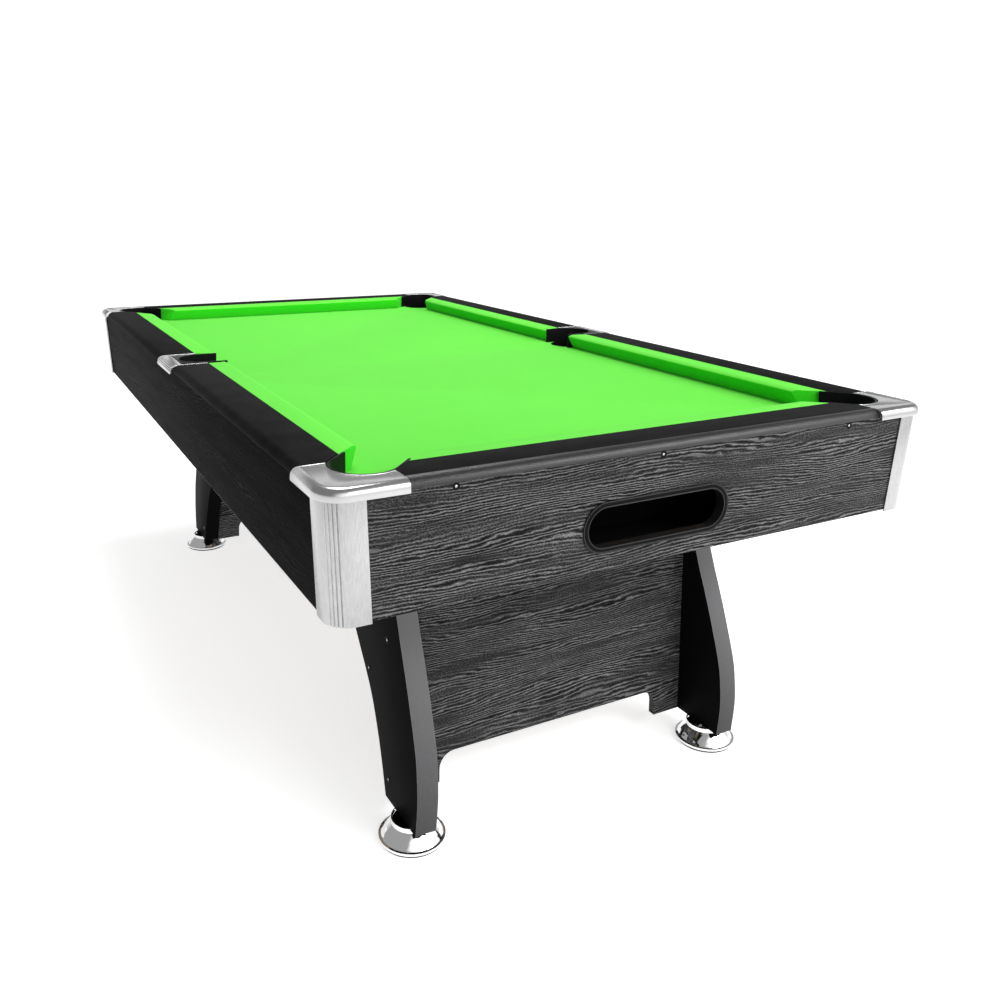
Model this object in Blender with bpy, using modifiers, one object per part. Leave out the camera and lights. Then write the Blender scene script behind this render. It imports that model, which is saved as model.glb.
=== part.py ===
"""Seven-foot pool table with bowed legs, built piece by piece.

Frame: X across the table, Y along it, Z up. The origin lies on the floor under the middle
of the table, and the ball return opens on the -Y end. All sizes are in metres.
"""

import math

import bmesh
import bpy
from mathutils import Matrix, Vector

# Overall size, over the corner caps and from the floor to the rail tops
WIDTH = 1.210
LENGTH = 2.120
HEIGHT = 0.750
GAP = 0.0003

# Playing bed and the cloth stretched on it
BED_TOP = 0.7110
BED_THICKNESS = 0.018
BED_HALF_X = 0.566
BED_HALF_Y = 1.020
CLOTH_TOP = 0.7120

# Rails, measured inwards from the overall outline
RAIL_INSET = 0.007
RAIL_WIDTH = 0.0797
RAIL_LIP = 0.7345
RAIL_ROUNDING = 0.0150
RAIL_FOOT = 0.7125
RAIL_STEP = 0.0205
CUSHION_DEPTH = 0.0480
CUSHION_TOP = 0.7493

# Aprons and corner posts lean inwards towards the floor
APRON_INSET = 0.0100
APRON_THICKNESS = 0.015
APRON_TOP = 0.7342
APRON_BOTTOM = 0.5480
APRON_LEAN = 0.078
POST_THICKNESS = 0.0030
POST_RADIUS = 0.0380
POST_ARM = 0.0600
POST_BOTTOM = 0.5450

# Corner caps and side pocket castings
CAP_ARM = 0.1300
CAP_RADIUS = 0.0450
CAP_SKIRT = 0.7310
CAP_WALL = 0.0063
CAP_ROUNDING = 0.0120
CASTING_HALF = 0.0700
CASTING_ARM = 0.0060
CASTING_BACK = 0.0285

# Pockets: centres measured inwards from the overall outline
CORNER_POCKET_INSET = 0.1030
SIDE_POCKET_INSET = 0.0870
LINER_RADIUS = 0.0550
LINER_WALL = 0.0045
LINER_EAR = 0.0470
LINER_TOP = 0.7497
LINER_BOTTOM = 0.6530
LINER_FLANGE = 0.0040
CHUTE_STEP = 0.0004
BACK_STEP = 0.0014
POCKET_CUT = LINER_RADIUS + 0.0007
JAW_SLOPE = 0.304
JAW_REACH = 0.1000

# Heights that a cutter spans to pass right through the rails, and through the bed
RAIL_CUT = (0.70, 0.76)
BED_CUT = (0.68, 0.72)

# Ball return: opening in the -Y apron, collecting tray and two sloping gutters
RETURN_X = -0.0260
RETURN_HALF = 0.148
RETURN_RADIUS = 0.043
RETURN_HEIGHT = 0.621
BEZEL_RIM = 0.0095
BEZEL_SLEEVE = 0.0035
BEZEL_PROUD = 0.0030
BEZEL_STEP = 1.5 * BEZEL_SLEEVE
RETURN_CUT = (-1.10, -1.00)
TRAY_HALF_X = 0.5550
TRAY_BACK = 0.8900
TRAY_FRONT = 1.0180
TRAY_FLOOR = 0.5560
TRAY_TOP = 0.6450
TRAY_LIP = 0.5770
SHEET_THICKNESS = 0.0030
GUTTER_X = 0.5100
GUTTER_HALF = 0.0380
GUTTER_LOW_Y = -0.8850
GUTTER_HIGH_Y = 1.0150
GUTTER_FLOOR = 0.5820
GUTTER_DEPTH = 0.0420
GUTTER_SLOPE = 0.0110

# Beams under the bed
BEAM_Y = 0.6200
BEAM_WIDTH = 0.0500
BEAM_BOTTOM = 0.6530

# Legs: bowed boards standing in the Y-Z plane, joined in pairs by an end panel
LEG_X = 0.3400
LEG_THICKNESS = 0.0400
LEG_BOTTOM = 0.0400
LEG_TOP = BEAM_BOTTOM - GAP
PANEL_FRONT = 0.7180
PANEL_THICKNESS = 0.0160
PANEL_ARCH_HALF = 0.2540
PANEL_ARCH_TOP = 0.0960
PANEL_ARCH_RADIUS = 0.0300

# Levelling feet
FOOT_Y = 0.7800
FOOT_RADIUS = 0.0600
DOME_TOP = LEG_BOTTOM - GAP
DOME_BOTTOM = 0.0045
DOME_WALL = 0.0022
COLLAR_RADIUS = 0.0380
COLLAR_HEIGHT = 0.0085
RECESS_DEPTH = 0.0065
RIM_INNER = 0.0555
RIM_TOP = 0.0090
BELL_BULGE = 0.0012
STUD_RADIUS = 0.0050
STUD_TOP = 0.1050
BORE_RADIUS = 0.0053
BORE_TOP = 0.1080
PAD_RADIUS = 0.0570
PAD_THICKNESS = 0.0040

HALF_X = WIDTH / 2
HALF_Y = LENGTH / 2
CORNERS = {
    "front_left": (-1, -1),
    "front_right": (1, -1),
    "back_left": (-1, 1),
    "back_right": (1, 1),
}
SIDES = {"left": -1, "right": 1}
ENDS = {"front": -1, "back": 1}

PARTS = None
CUTTERS = None


# ---------------------------------------------------------------- scene and materials


def start_scene():
    """Clears the scene and makes the collections for the parts and for the cutters."""
    global PARTS, CUTTERS
    for old in list(bpy.data.objects):
        bpy.data.objects.remove(old)
    PARTS = bpy.data.collections.new("pool_table")
    CUTTERS = bpy.data.collections.new("cutters")
    CUTTERS.hide_render = True
    bpy.context.scene.collection.children.link(PARTS)
    bpy.context.scene.collection.children.link(CUTTERS)


def make_material(name, colour, roughness, metallic=0.0):
    material = bpy.data.materials.new(name)
    material.use_nodes = True
    shader = material.node_tree.nodes["Principled BSDF"]
    shader.inputs["Base Color"].default_value = (*colour, 1.0)
    shader.inputs["Roughness"].default_value = roughness
    shader.inputs["Metallic"].default_value = metallic
    return material


# ---------------------------------------------------------------- mesh helpers


def add_object(name, mesh, collection, location=(0, 0, 0)):
    item = bpy.data.objects.new(name, mesh)
    item.location = location
    collection.objects.link(item)
    if collection == CUTTERS:
        item.hide_render = True
        item.display_type = "WIRE"
    return item


def finish(item, material):
    """Gives a part its material and smooth shading that breaks at real edges."""
    item.data.materials.clear()
    item.data.materials.append(material)
    item.data.shade_smooth()
    item.data.set_sharp_from_angle(angle=math.radians(35))
    return item


def close_up(mesh):
    """Welds loose caps and turns every face outwards."""
    work = bmesh.new()
    work.from_mesh(mesh)
    bmesh.ops.remove_doubles(work, verts=work.verts, dist=0.00001)
    bmesh.ops.recalc_face_normals(work, faces=work.faces)
    work.to_mesh(mesh)
    work.free()


def box(name, low, high, collection=None):
    """A block between two corners, with its origin at its middle."""
    low, high = Vector(low), Vector(high)
    work = bmesh.new()
    bmesh.ops.create_cube(work, size=1.0)
    bmesh.ops.scale(work, vec=high - low, verts=work.verts)
    mesh = bpy.data.meshes.new(name)
    work.to_mesh(mesh)
    work.free()
    return add_object(name, mesh, collection or PARTS, (low + high) / 2)


def plate(name, outline, low, high, collection=None, turn=None):
    """A flat outline given thickness from low to high; turn then stands it up."""
    curve = bpy.data.curves.new(name + "_outline", "CURVE")
    curve.dimensions = "2D"
    curve.fill_mode = "BOTH"
    curve.extrude = (high - low) / 2
    spline = curve.splines.new("POLY")
    spline.points.add(len(outline) - 1)
    for point, (u, v) in zip(spline.points, outline):
        point.co = (u, v, 0, 1)
    spline.use_cyclic_u = True
    guide = bpy.data.objects.new(name + "_guide", curve)
    CUTTERS.objects.link(guide)
    bpy.context.view_layer.update()
    graph = bpy.context.evaluated_depsgraph_get()
    mesh = bpy.data.meshes.new_from_object(guide.evaluated_get(graph))
    mesh.name = name
    bpy.data.objects.remove(guide)
    mesh.transform(Matrix.Translation((0, 0, (low + high) / 2)))
    if turn:
        mesh.transform(turn)
    close_up(mesh)
    return add_object(name, mesh, collection or PARTS)


def turned(name, profile, steps, location=(0, 0, 0)):
    """A profile of (radius, height) points, down its outer side, spun round the Z axis."""
    mesh = bpy.data.meshes.new(name)
    closed = profile[0][0] > 0
    edges = [(i, i + 1) for i in range(len(profile) - 1)]
    if closed:
        edges.append((len(profile) - 1, 0))
    mesh.from_pydata([(r, 0, z) for r, z in profile], edges, [])
    item = add_object(name, mesh, PARTS, location)
    spin = item.modifiers.new("spin", "SCREW")
    spin.steps = steps
    spin.render_steps = steps
    spin.use_merge_vertices = True
    spin.merge_threshold = 0.0001
    spin.use_smooth_shade = True
    return item


def boolean(item, other, operation="DIFFERENCE"):
    cut = item.modifiers.new(operation.lower(), "BOOLEAN")
    cut.operation = operation
    cut.object = other
    cut.solver = "EXACT"
    return item


def arc(centre, radius, start, end, steps):
    """Points of an arc in degrees, both ends included."""
    points = []
    for i in range(steps + 1):
        angle = math.radians(start + (end - start) * i / steps)
        points.append((centre[0] + radius * math.cos(angle), centre[1] + radius * math.sin(angle)))
    return points


def smooth_line(points, steps):
    """A Catmull-Rom line through the points, which it passes exactly."""
    ends = [points[0], *points, points[-1]]
    line = []
    for i in range(len(points) - 1):
        p0, p1, p2, p3 = (Vector(p) for p in ends[i : i + 4])
        for k in range(steps):
            t = k / steps
            bend = (2 * p0 - 5 * p1 + 4 * p2 - p3) * t * t + (3 * p1 - p0 - 3 * p2 + p3) * t**3
            line.append(tuple((2 * p1 + (p2 - p0) * t + bend) / 2))
    line.append(points[-1])
    return line


# The outline's (u, v, thickness) become (x, z, y), (y, z, x) or stay (x, y, z)
STAND_ACROSS = Matrix(((1, 0, 0, 0), (0, 0, 1, 0), (0, 1, 0, 0), (0, 0, 0, 1)))
STAND_ALONG = Matrix(((0, 0, 1, 0), (1, 0, 0, 0), (0, 1, 0, 0), (0, 0, 0, 1)))


def lean(item, sx, sy):
    """Slopes an upright piece inwards towards the floor, as the aprons slope."""
    slope = Matrix.Identity(4)
    slope[0][2] = APRON_LEAN * sx
    slope[1][2] = APRON_LEAN * sy
    drop = Matrix.Translation((0, 0, -APRON_TOP))
    place = Matrix.Translation(item.location)
    item.data.transform(drop.inverted() @ slope @ drop @ place)
    item.location = (0, 0, 0)
    return item


# ---------------------------------------------------------------- pockets


def corner_pocket(sx, sy):
    """Centre of a corner pocket and the angle of its mouth, facing the bed, in degrees."""
    centre = (sx * (HALF_X - CORNER_POCKET_INSET), sy * (HALF_Y - CORNER_POCKET_INSET))
    return centre, math.degrees(math.atan2(-sy, -sx))


def side_pocket(sx):
    return (sx * (HALF_X - SIDE_POCKET_INSET), 0.0), (180.0 if sx > 0 else 0.0)


POCKETS = {"corner_" + name: corner_pocket(*signs) for name, signs in CORNERS.items()}
POCKETS.update({"side_" + name: side_pocket(sx) for name, sx in SIDES.items()})


def mouth_outline(pocket, radius, length):
    """A U: half a circle round the pocket's back, with straight legs towards the bed."""
    centre, angle = pocket
    points = arc(centre, radius, angle + 90, angle + 270, 14)
    step = (length * math.cos(math.radians(angle)), length * math.sin(math.radians(angle)))
    first, last = points[0], points[-1]
    return [(first[0] + step[0], first[1] + step[1]), *points, (last[0] + step[0], last[1] + step[1])]


def pocket_cutters():
    """Mouth cutters for rails and cushions, and round cutters for bed and cloth."""
    mouths, holes = {}, {}
    for name, pocket in POCKETS.items():
        outline = mouth_outline(pocket, POCKET_CUT, 0.20)
        mouths[name] = plate(name + "_mouth", outline, *RAIL_CUT, CUTTERS)
        ring = arc(pocket[0], POCKET_CUT + 2 * GAP, 0, 360, 28)[:-1]
        holes[name] = plate(name + "_hole", ring, *BED_CUT, CUTTERS)
    return mouths, holes


def make_liner(name, pocket, material):
    """A pocket liner: a U wall with ears above the bed, a round chute below it."""
    ears = mouth_outline(pocket, LINER_RADIUS, LINER_EAR)
    liner = plate(name, ears, CLOTH_TOP + GAP, LINER_TOP)
    centre, angle = pocket
    if centre[1] == 0:
        sx = math.copysign(1, centre[0])
        reach = sx * (HALF_X - CASTING_BACK - GAP)
        half = CASTING_HALF - CASTING_ARM - GAP
        inner = sx * (HALF_X - RAIL_INSET - RAIL_WIDTH + GAP)
        low = (min(inner, reach), -half, LINER_TOP - LINER_FLANGE)
        high = (max(inner, reach), half, LINER_TOP - GAP)
        boolean(liner, box(name + "_flange", low, high, CUTTERS), "UNION")
    # Each shape below is a little slimmer than the last, so that no two walls coincide
    chute = arc(centre, LINER_RADIUS - CHUTE_STEP, 4, 364, 24)[:-1]
    boolean(liner, plate(name + "_chute", chute, LINER_BOTTOM, CLOTH_TOP - GAP, CUTTERS), "UNION")
    back = arc(centre, LINER_RADIUS - BACK_STEP, angle + 92, angle + 268, 12)
    span = (CLOTH_TOP - LINER_WALL, CLOTH_TOP + LINER_WALL)
    boolean(liner, plate(name + "_back", back, *span, CUTTERS), "UNION")
    inside = mouth_outline(pocket, LINER_RADIUS - LINER_WALL, 2 * LINER_EAR)
    boolean(liner, plate(name + "_inside", inside, CLOTH_TOP, RAIL_CUT[1], CUTTERS))
    bore = arc(centre, LINER_RADIUS - LINER_WALL - GAP, 7, 367, 24)[:-1]
    boolean(liner, plate(name + "_bore", bore, LINER_BOTTOM - 0.01, BED_CUT[1], CUTTERS))
    return finish(liner, material)


# ---------------------------------------------------------------- top: bed, rails, castings


def make_bed(holes, board, cloth):
    low = (-BED_HALF_X, -BED_HALF_Y, BED_TOP - BED_THICKNESS)
    bed = box("bed_board", low, (BED_HALF_X, BED_HALF_Y, BED_TOP - GAP))
    low = (-BED_HALF_X, -BED_HALF_Y, BED_TOP)
    cover = box("bed_cloth", low, (BED_HALF_X, BED_HALF_Y, CLOTH_TOP))
    for hole in holes.values():
        boolean(bed, hole)
        boolean(cover, hole)
    finish(bed, board)
    finish(cover, cloth)


def rail_section(edge):
    """Section of a rail whose outer face is at the distance edge, as (distance, height)."""
    outer = edge - RAIL_INSET
    inner = outer - RAIL_WIDTH
    centre = (outer - RAIL_ROUNDING, HEIGHT - RAIL_ROUNDING)
    crown = arc(centre, RAIL_ROUNDING, 0, 90, 5)
    step = outer - RAIL_STEP
    return [
        (outer, RAIL_LIP),
        *crown,
        (inner, HEIGHT),
        (inner, RAIL_FOOT),
        (step, RAIL_FOOT),
        (step, RAIL_LIP),
    ]


def cushion_section(edge):
    """Section of a cushion: flat top, nose over the bed, undercut face."""
    back = edge - RAIL_INSET - RAIL_WIDTH - GAP
    nose = back - CUSHION_DEPTH
    return [
        (back, RAIL_FOOT),
        (back, CUSHION_TOP),
        (nose + 0.006, CUSHION_TOP - 0.0015),
        (nose + 0.0015, CUSHION_TOP - 0.0035),
        (nose, CUSHION_TOP - 0.0075),
        (nose + 0.0020, CUSHION_TOP - 0.0130),
        (nose + 0.0160, RAIL_FOOT),
    ]


def make_end_rails(mouths, vinyl, cloth):
    for name, sy in ENDS.items():
        half = HALF_X - CAP_ARM - GAP
        section = [(sy * d, z) for d, z in rail_section(HALF_Y)]
        rail = plate("end_rail_" + name, section, -half, half, turn=STAND_ALONG)
        section = [(sy * d, z) for d, z in cushion_section(HALF_Y)]
        cushion = plate("end_cushion_" + name, section, -half, half, turn=STAND_ALONG)
        for side in SIDES:
            boolean(rail, mouths[f"corner_{name}_{side}"])
            boolean(cushion, mouths[f"corner_{name}_{side}"])
        finish(rail, vinyl)
        finish(cushion, cloth)


def make_side_rails(mouths, vinyl, cloth):
    near = CASTING_HALF + GAP
    far = HALF_Y - CAP_ARM - GAP
    for side, sx in SIDES.items():
        line = HALF_X - SIDE_POCKET_INSET
        jaw = []
        for along in (line - JAW_REACH, line + JAW_REACH):
            spread = POCKET_CUT + JAW_SLOPE * (along - (line - CUSHION_DEPTH))
            jaw += [(sx * along, spread), (sx * along, -spread)]
        jaw = [jaw[0], jaw[2], jaw[3], jaw[1]]
        wedge = plate(f"side_{side}_jaw", jaw, *RAIL_CUT, CUTTERS)
        for end, sy in ENDS.items():
            span = sorted((sy * near, sy * far))
            section = [(sx * d, z) for d, z in rail_section(HALF_X)]
            rail = plate(f"side_rail_{end}_{side}", section, *span, turn=STAND_ACROSS)
            section = [(sx * d, z) for d, z in cushion_section(HALF_X)]
            span = sorted((sy * 0.01, sy * far))
            cushion = plate(f"side_cushion_{end}_{side}", section, *span, turn=STAND_ACROSS)
            boolean(rail, mouths[f"corner_{end}_{side}"])
            boolean(cushion, mouths[f"corner_{end}_{side}"])
            boolean(cushion, wedge)
            finish(rail, vinyl)
            finish(cushion, cloth)


def round_top(item, chosen, radius):
    """Rounds the top edges that chosen picks by their two end points."""
    work = bmesh.new()
    work.from_mesh(item.data)
    top = max(vert.co.z for vert in work.verts)
    edges = []
    for edge in work.edges:
        ends = [vert.co for vert in edge.verts]
        if all(abs(co.z - top) < 0.0001 for co in ends) and all(chosen(co) for co in ends):
            if len({round(face.normal.z) for face in edge.link_faces}) == 2:
                edges.append(edge)
    bmesh.ops.bevel(
        work,
        geom=edges,
        offset=radius,
        segments=4,
        profile=0.5,
        affect="EDGES",
        material=-1,
        clamp_overlap=True,
    )
    work.to_mesh(item.data)
    work.free()


def make_corner_caps(mouths, material):
    """Cast caps over the corners, with a skirt that hides the tops of the posts."""
    for name, (sx, sy) in CORNERS.items():
        centre = (HALF_X - CAP_RADIUS, HALF_Y - CAP_RADIUS)
        near_x, near_y = HALF_X - CAP_ARM, HALF_Y - CAP_ARM
        inner_x, inner_y = HALF_X - CORNER_POCKET_INSET, HALF_Y - CORNER_POCKET_INSET
        outline = [(near_x, HALF_Y), (near_x, inner_y), (inner_x, near_y), (HALF_X, near_y)]
        outline += arc(centre, CAP_RADIUS, 0, 90, 8)
        outline = [(sx * x, sy * y) for x, y in outline]
        cap = plate("corner_cap_" + name, outline, CAP_SKIRT, HEIGHT)

        def on_edge(co):
            x, y = abs(co.x), abs(co.y)
            reach = math.hypot(x - centre[0], y - centre[1])
            rounded = x > centre[0] and y > centre[1] and reach > CAP_RADIUS - GAP
            return x > HALF_X - GAP or y > HALF_Y - GAP or rounded

        round_top(cap, on_edge, CAP_ROUNDING)
        start = (near_x - CAP_ARM, near_y - CAP_ARM)
        inner = [start, (HALF_X - CAP_WALL, start[1])]
        inner += arc(centre, CAP_RADIUS - CAP_WALL, 0, 90, 8)
        inner += [(start[0], HALF_Y - CAP_WALL)]
        inner = [(sx * x, sy * y) for x, y in inner]
        boolean(cap, plate(name + "_cap_hollow", inner, RAIL_CUT[0], RAIL_LIP, CUTTERS))
        boolean(cap, mouths["corner_" + name])
        finish(cap, material)


def make_side_castings(material):
    """Side pocket castings: a ribbed outer plate with two thin arms over the rail."""
    for side, sx in SIDES.items():
        inner = HALF_X - RAIL_INSET - RAIL_WIDTH
        low = (min(sx * inner, sx * HALF_X), -CASTING_HALF, CAP_SKIRT)
        high = (max(sx * inner, sx * HALF_X), CASTING_HALF, HEIGHT)
        casting = box("side_casting_" + side, low, high)
        half_depth = (HALF_X - inner) / 2
        round_top(casting, lambda co: sx * co.x > half_depth - GAP, CAP_ROUNDING)
        wall = sx * (HALF_X - CAP_WALL)
        past = 2 * CASTING_HALF
        low = (min(0, wall), -past, RAIL_CUT[0])
        hollow = box(side + "_casting_hollow", low, (max(0, wall), past, RAIL_LIP), CUTTERS)
        boolean(casting, hollow)
        back = sx * (HALF_X - CASTING_BACK)
        half = CASTING_HALF - CASTING_ARM
        low = (min(0, back), -half, RAIL_CUT[0])
        mouth = box(side + "_casting_mouth", low, (max(0, back), half, RAIL_CUT[1]), CUTTERS)
        boolean(casting, mouth)
        finish(casting, material)


# ---------------------------------------------------------------- cabinet


def apron_outline(outer):
    """Board that narrows towards the floor, because the boards beside it lean inwards."""
    half = outer - POST_RADIUS + POST_THICKNESS
    foot = half - APRON_LEAN * (APRON_TOP - APRON_BOTTOM)
    return [(-half, APRON_TOP), (half, APRON_TOP), (foot, APRON_BOTTOM), (-foot, APRON_BOTTOM)]


def make_aprons(wood, plastic):
    """Four leaning boards; the -Y one has the ball return opening with its bezel."""
    outer_x, outer_y = HALF_X - APRON_INSET, HALF_Y - APRON_INSET
    for name, sy in ENDS.items():
        span = sorted((sy * outer_y, sy * (outer_y - APRON_THICKNESS)))
        board = plate("end_apron_" + name, apron_outline(outer_x), *span, turn=STAND_ACROSS)
        if sy < 0:
            opening = stadium(BEZEL_STEP)
            cutter = plate("return_cut", opening, *RETURN_CUT, CUTTERS, STAND_ACROSS)
            lean(cutter, 0, sy)
            boolean(board, cutter)
        lean(board, 0, sy)
        finish(board, wood)
    for name, sx in SIDES.items():
        span = sorted((sx * outer_x, sx * (outer_x - APRON_THICKNESS)))
        board = plate("side_apron_" + name, apron_outline(outer_y), *span, turn=STAND_ALONG)
        lean(board, sx, 0)
        finish(board, wood)
    make_bezel(outer_y, plastic)


def stadium(inset):
    """The ball return's round-ended outline, drawn in by inset, as (x, z)."""
    radius = RETURN_RADIUS - inset
    reach = RETURN_HALF - RETURN_RADIUS
    right = arc((RETURN_X + reach, RETURN_HEIGHT), radius, -90, 90, 14)
    return right + arc((RETURN_X - reach, RETURN_HEIGHT), radius, 90, 270, 14)


def make_bezel(face, plastic):
    """Moulded ring: a flange on the apron's face and a sleeve through it."""
    span = (-face - BEZEL_PROUD, -face - GAP)
    bezel = plate("ball_return_bezel", stadium(0), *span, turn=STAND_ACROSS)
    lean(bezel, 0, -1)
    span = (-face - BEZEL_PROUD / 2, -face + APRON_THICKNESS)
    sleeve = plate("bezel_sleeve", stadium(BEZEL_STEP + GAP), *span, CUTTERS, STAND_ACROSS)
    lean(sleeve, 0, -1)
    mouth = plate("bezel_mouth", stadium(BEZEL_RIM), *RETURN_CUT, CUTTERS, STAND_ACROSS)
    lean(mouth, 0, -1)
    boolean(bezel, sleeve, "UNION")
    boolean(bezel, mouth)
    finish(bezel, plastic)


def make_corner_posts(material):
    """Rounded channels that cover and join the apron ends."""
    outer = (HALF_X - APRON_INSET + POST_THICKNESS, HALF_Y - APRON_INSET + POST_THICKNESS)
    centre = (outer[0] - POST_RADIUS, outer[1] - POST_RADIUS)
    inner_radius = POST_RADIUS - POST_THICKNESS + GAP
    thin = POST_THICKNESS - GAP
    for name, (sx, sy) in CORNERS.items():
        outline = [(outer[0], outer[1] - POST_ARM), *arc(centre, POST_RADIUS, 0, 90, 10)]
        outline += [(outer[0] - POST_ARM, outer[1]), (outer[0] - POST_ARM, outer[1] - thin)]
        outline += arc(centre, inner_radius, 90, 0, 10)
        outline += [(outer[0] - thin, outer[1] - POST_ARM)]
        outline = [(sx * x, sy * y) for x, y in outline]
        post = plate("corner_post_" + name, outline, POST_BOTTOM, APRON_TOP)
        lean(post, sx, sy)
        finish(post, material)


def make_ball_return(material):
    """The collecting tray behind the opening and the gutter along each side."""
    wall = SHEET_THICKNESS
    low = (-TRAY_HALF_X, -TRAY_FRONT, TRAY_FLOOR - wall)
    tray = box("ball_return_tray", low, (TRAY_HALF_X, -TRAY_BACK, TRAY_TOP))
    past = TRAY_TOP + 0.05
    low = (-TRAY_HALF_X + wall, -TRAY_FRONT + wall, TRAY_FLOOR)
    inside = box("tray_inside", low, (TRAY_HALF_X - wall, -TRAY_BACK - wall, past), CUTTERS)
    boolean(tray, inside)
    low = (-TRAY_HALF_X + wall, -TRAY_FRONT - wall, TRAY_LIP)
    lip = box("tray_lip", low, (TRAY_HALF_X - wall, -TRAY_FRONT + 2 * wall, past), CUTTERS)
    boolean(tray, lip)
    for side, sx in SIDES.items():
        middle = sx * GUTTER_X
        low = (middle - GUTTER_HALF, -TRAY_BACK - 2 * wall, GUTTER_FLOOR - wall)
        notch = box(side + "_notch", low, (middle + GUTTER_HALF, -TRAY_BACK + wall, past), CUTTERS)
        boolean(tray, notch)
        make_gutter(side, middle, material)
    finish(tray, material)


def make_gutter(side, middle, material):
    """One gutter: a trough closed at its far end, sloping down to the tray."""
    wall = SHEET_THICKNESS
    top = GUTTER_FLOOR + GUTTER_DEPTH
    low = (middle - GUTTER_HALF, GUTTER_LOW_Y, GUTTER_FLOOR - wall)
    gutter = box("ball_gutter_" + side, low, (middle + GUTTER_HALF, GUTTER_HIGH_Y, top))
    low = (middle - GUTTER_HALF + wall, GUTTER_LOW_Y - wall, GUTTER_FLOOR)
    high = (middle + GUTTER_HALF - wall, GUTTER_HIGH_Y - wall, top + wall)
    inside = box(side + "_gutter_inside", low, high, CUTTERS)
    for piece in (gutter, inside):
        slope = Matrix.Identity(4)
        slope[2][1] = GUTTER_SLOPE
        start = Matrix.Translation((0, GUTTER_LOW_Y, 0))
        piece.data.transform(start @ slope @ start.inverted() @ Matrix.Translation(piece.location))
        piece.location = (0, 0, 0)
    boolean(gutter, inside)
    finish(gutter, material)


def make_beams(material):
    """Two cross beams over the leg pairs and a spine between them."""
    top = BED_TOP - BED_THICKNESS - GAP
    reach = HALF_X - APRON_INSET - APRON_THICKNESS - APRON_LEAN * (APRON_TOP - BEAM_BOTTOM) - 0.002
    for name, sy in ENDS.items():
        middle = sy * BEAM_Y
        low = (-reach, middle - BEAM_WIDTH / 2, BEAM_BOTTOM)
        finish(box("cross_beam_" + name, low, (reach, middle + BEAM_WIDTH / 2, top)), material)
    end = BEAM_Y - BEAM_WIDTH / 2 - GAP
    low = (-BEAM_WIDTH / 2, -end, BEAM_BOTTOM)
    finish(box("spine_beam", low, (BEAM_WIDTH / 2, end, top)), material)


# ---------------------------------------------------------------- legs and feet


def leg_outline():
    """Bowed board as (distance from the table's middle, height)."""
    front = [
        (0.836, LEG_BOTTOM),
        (0.843, 0.100),
        (0.841, 0.150),
        (0.832, 0.200),
        (0.797, 0.300),
        (0.757, 0.400),
        (0.735, 0.490),
        (0.730, LEG_TOP),
    ]
    back = [
        (0.440, LEG_TOP),
        (0.446, 0.500),
        (0.480, 0.400),
        (0.562, 0.300),
        (0.634, 0.217),
        (0.669, 0.152),
        (0.690, 0.098),
        (0.708, LEG_BOTTOM),
    ]
    return smooth_line(front, 3) + smooth_line(back, 3)


def make_legs(black, wood):
    for name, (sx, sy) in CORNERS.items():
        outline = [(sy * along, height) for along, height in leg_outline()]
        middle = sx * LEG_X
        span = (middle - LEG_THICKNESS / 2, middle + LEG_THICKNESS / 2)
        leg = plate("leg_" + name, outline, *span, turn=STAND_ALONG)
        ring = arc((middle, sy * FOOT_Y), BORE_RADIUS, 0, 360, 16)[:-1]
        boolean(leg, plate(name + "_stud_bore", ring, LEG_BOTTOM - 0.02, BORE_TOP, CUTTERS))
        finish(leg, black)
    for name, sy in ENDS.items():
        make_leg_panel(name, sy, wood)


def make_leg_panel(name, sy, wood):
    """End panel between two legs, with an arched cut-out between two tabs."""
    reach = LEG_X - LEG_THICKNESS / 2 - GAP
    top = LEG_TOP
    radius = PANEL_ARCH_RADIUS
    bend = (PANEL_ARCH_HALF - radius, PANEL_ARCH_TOP - radius)
    outline = [(reach, top), (-reach, top), (-reach, LEG_BOTTOM), (-PANEL_ARCH_HALF, LEG_BOTTOM)]
    outline += arc((-bend[0], bend[1]), radius, 180, 90, 6)
    outline += arc(bend, radius, 90, 0, 6)
    outline += [(PANEL_ARCH_HALF, LEG_BOTTOM), (reach, LEG_BOTTOM)]
    span = sorted((sy * PANEL_FRONT, sy * (PANEL_FRONT - PANEL_THICKNESS)))
    finish(plate("leg_panel_" + name, outline, *span, turn=STAND_ACROSS), wood)


def dome_profile():
    """Bell of a foot as a closed shell: collar round a recess, sloping side, flat rim."""
    bore = STUD_RADIUS + GAP
    floor = DOME_TOP - RECESS_DEPTH
    neck = DOME_TOP - COLLAR_HEIGHT
    wall = DOME_WALL
    chamfer = wall / 3
    outside = [
        (bore, floor),
        (COLLAR_RADIUS - wall, floor),
        (COLLAR_RADIUS - wall, DOME_TOP - chamfer),
        (COLLAR_RADIUS - wall + chamfer, DOME_TOP),
        (COLLAR_RADIUS - chamfer, DOME_TOP),
        (COLLAR_RADIUS, DOME_TOP - chamfer),
        (COLLAR_RADIUS, neck),
    ]
    for step in range(5):
        part = step / 4
        radius = COLLAR_RADIUS + chamfer + part * (RIM_INNER - COLLAR_RADIUS - chamfer)
        height = neck - chamfer + part * (RIM_TOP - neck + chamfer)
        outside.append((radius, height + BELL_BULGE * math.sin(math.pi * part)))
    outside += [
        (FOOT_RADIUS - chamfer, RIM_TOP),
        (FOOT_RADIUS, RIM_TOP - chamfer),
        (FOOT_RADIUS, DOME_BOTTOM),
    ]
    inside = [
        (FOOT_RADIUS - wall, DOME_BOTTOM),
        (FOOT_RADIUS - wall, RIM_TOP - wall),
        (RIM_INNER - wall, RIM_TOP - wall),
        (COLLAR_RADIUS - wall, neck - wall),
        (COLLAR_RADIUS - 2 * wall, floor - wall),
        (bore, floor - wall),
    ]
    return outside + inside


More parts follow.
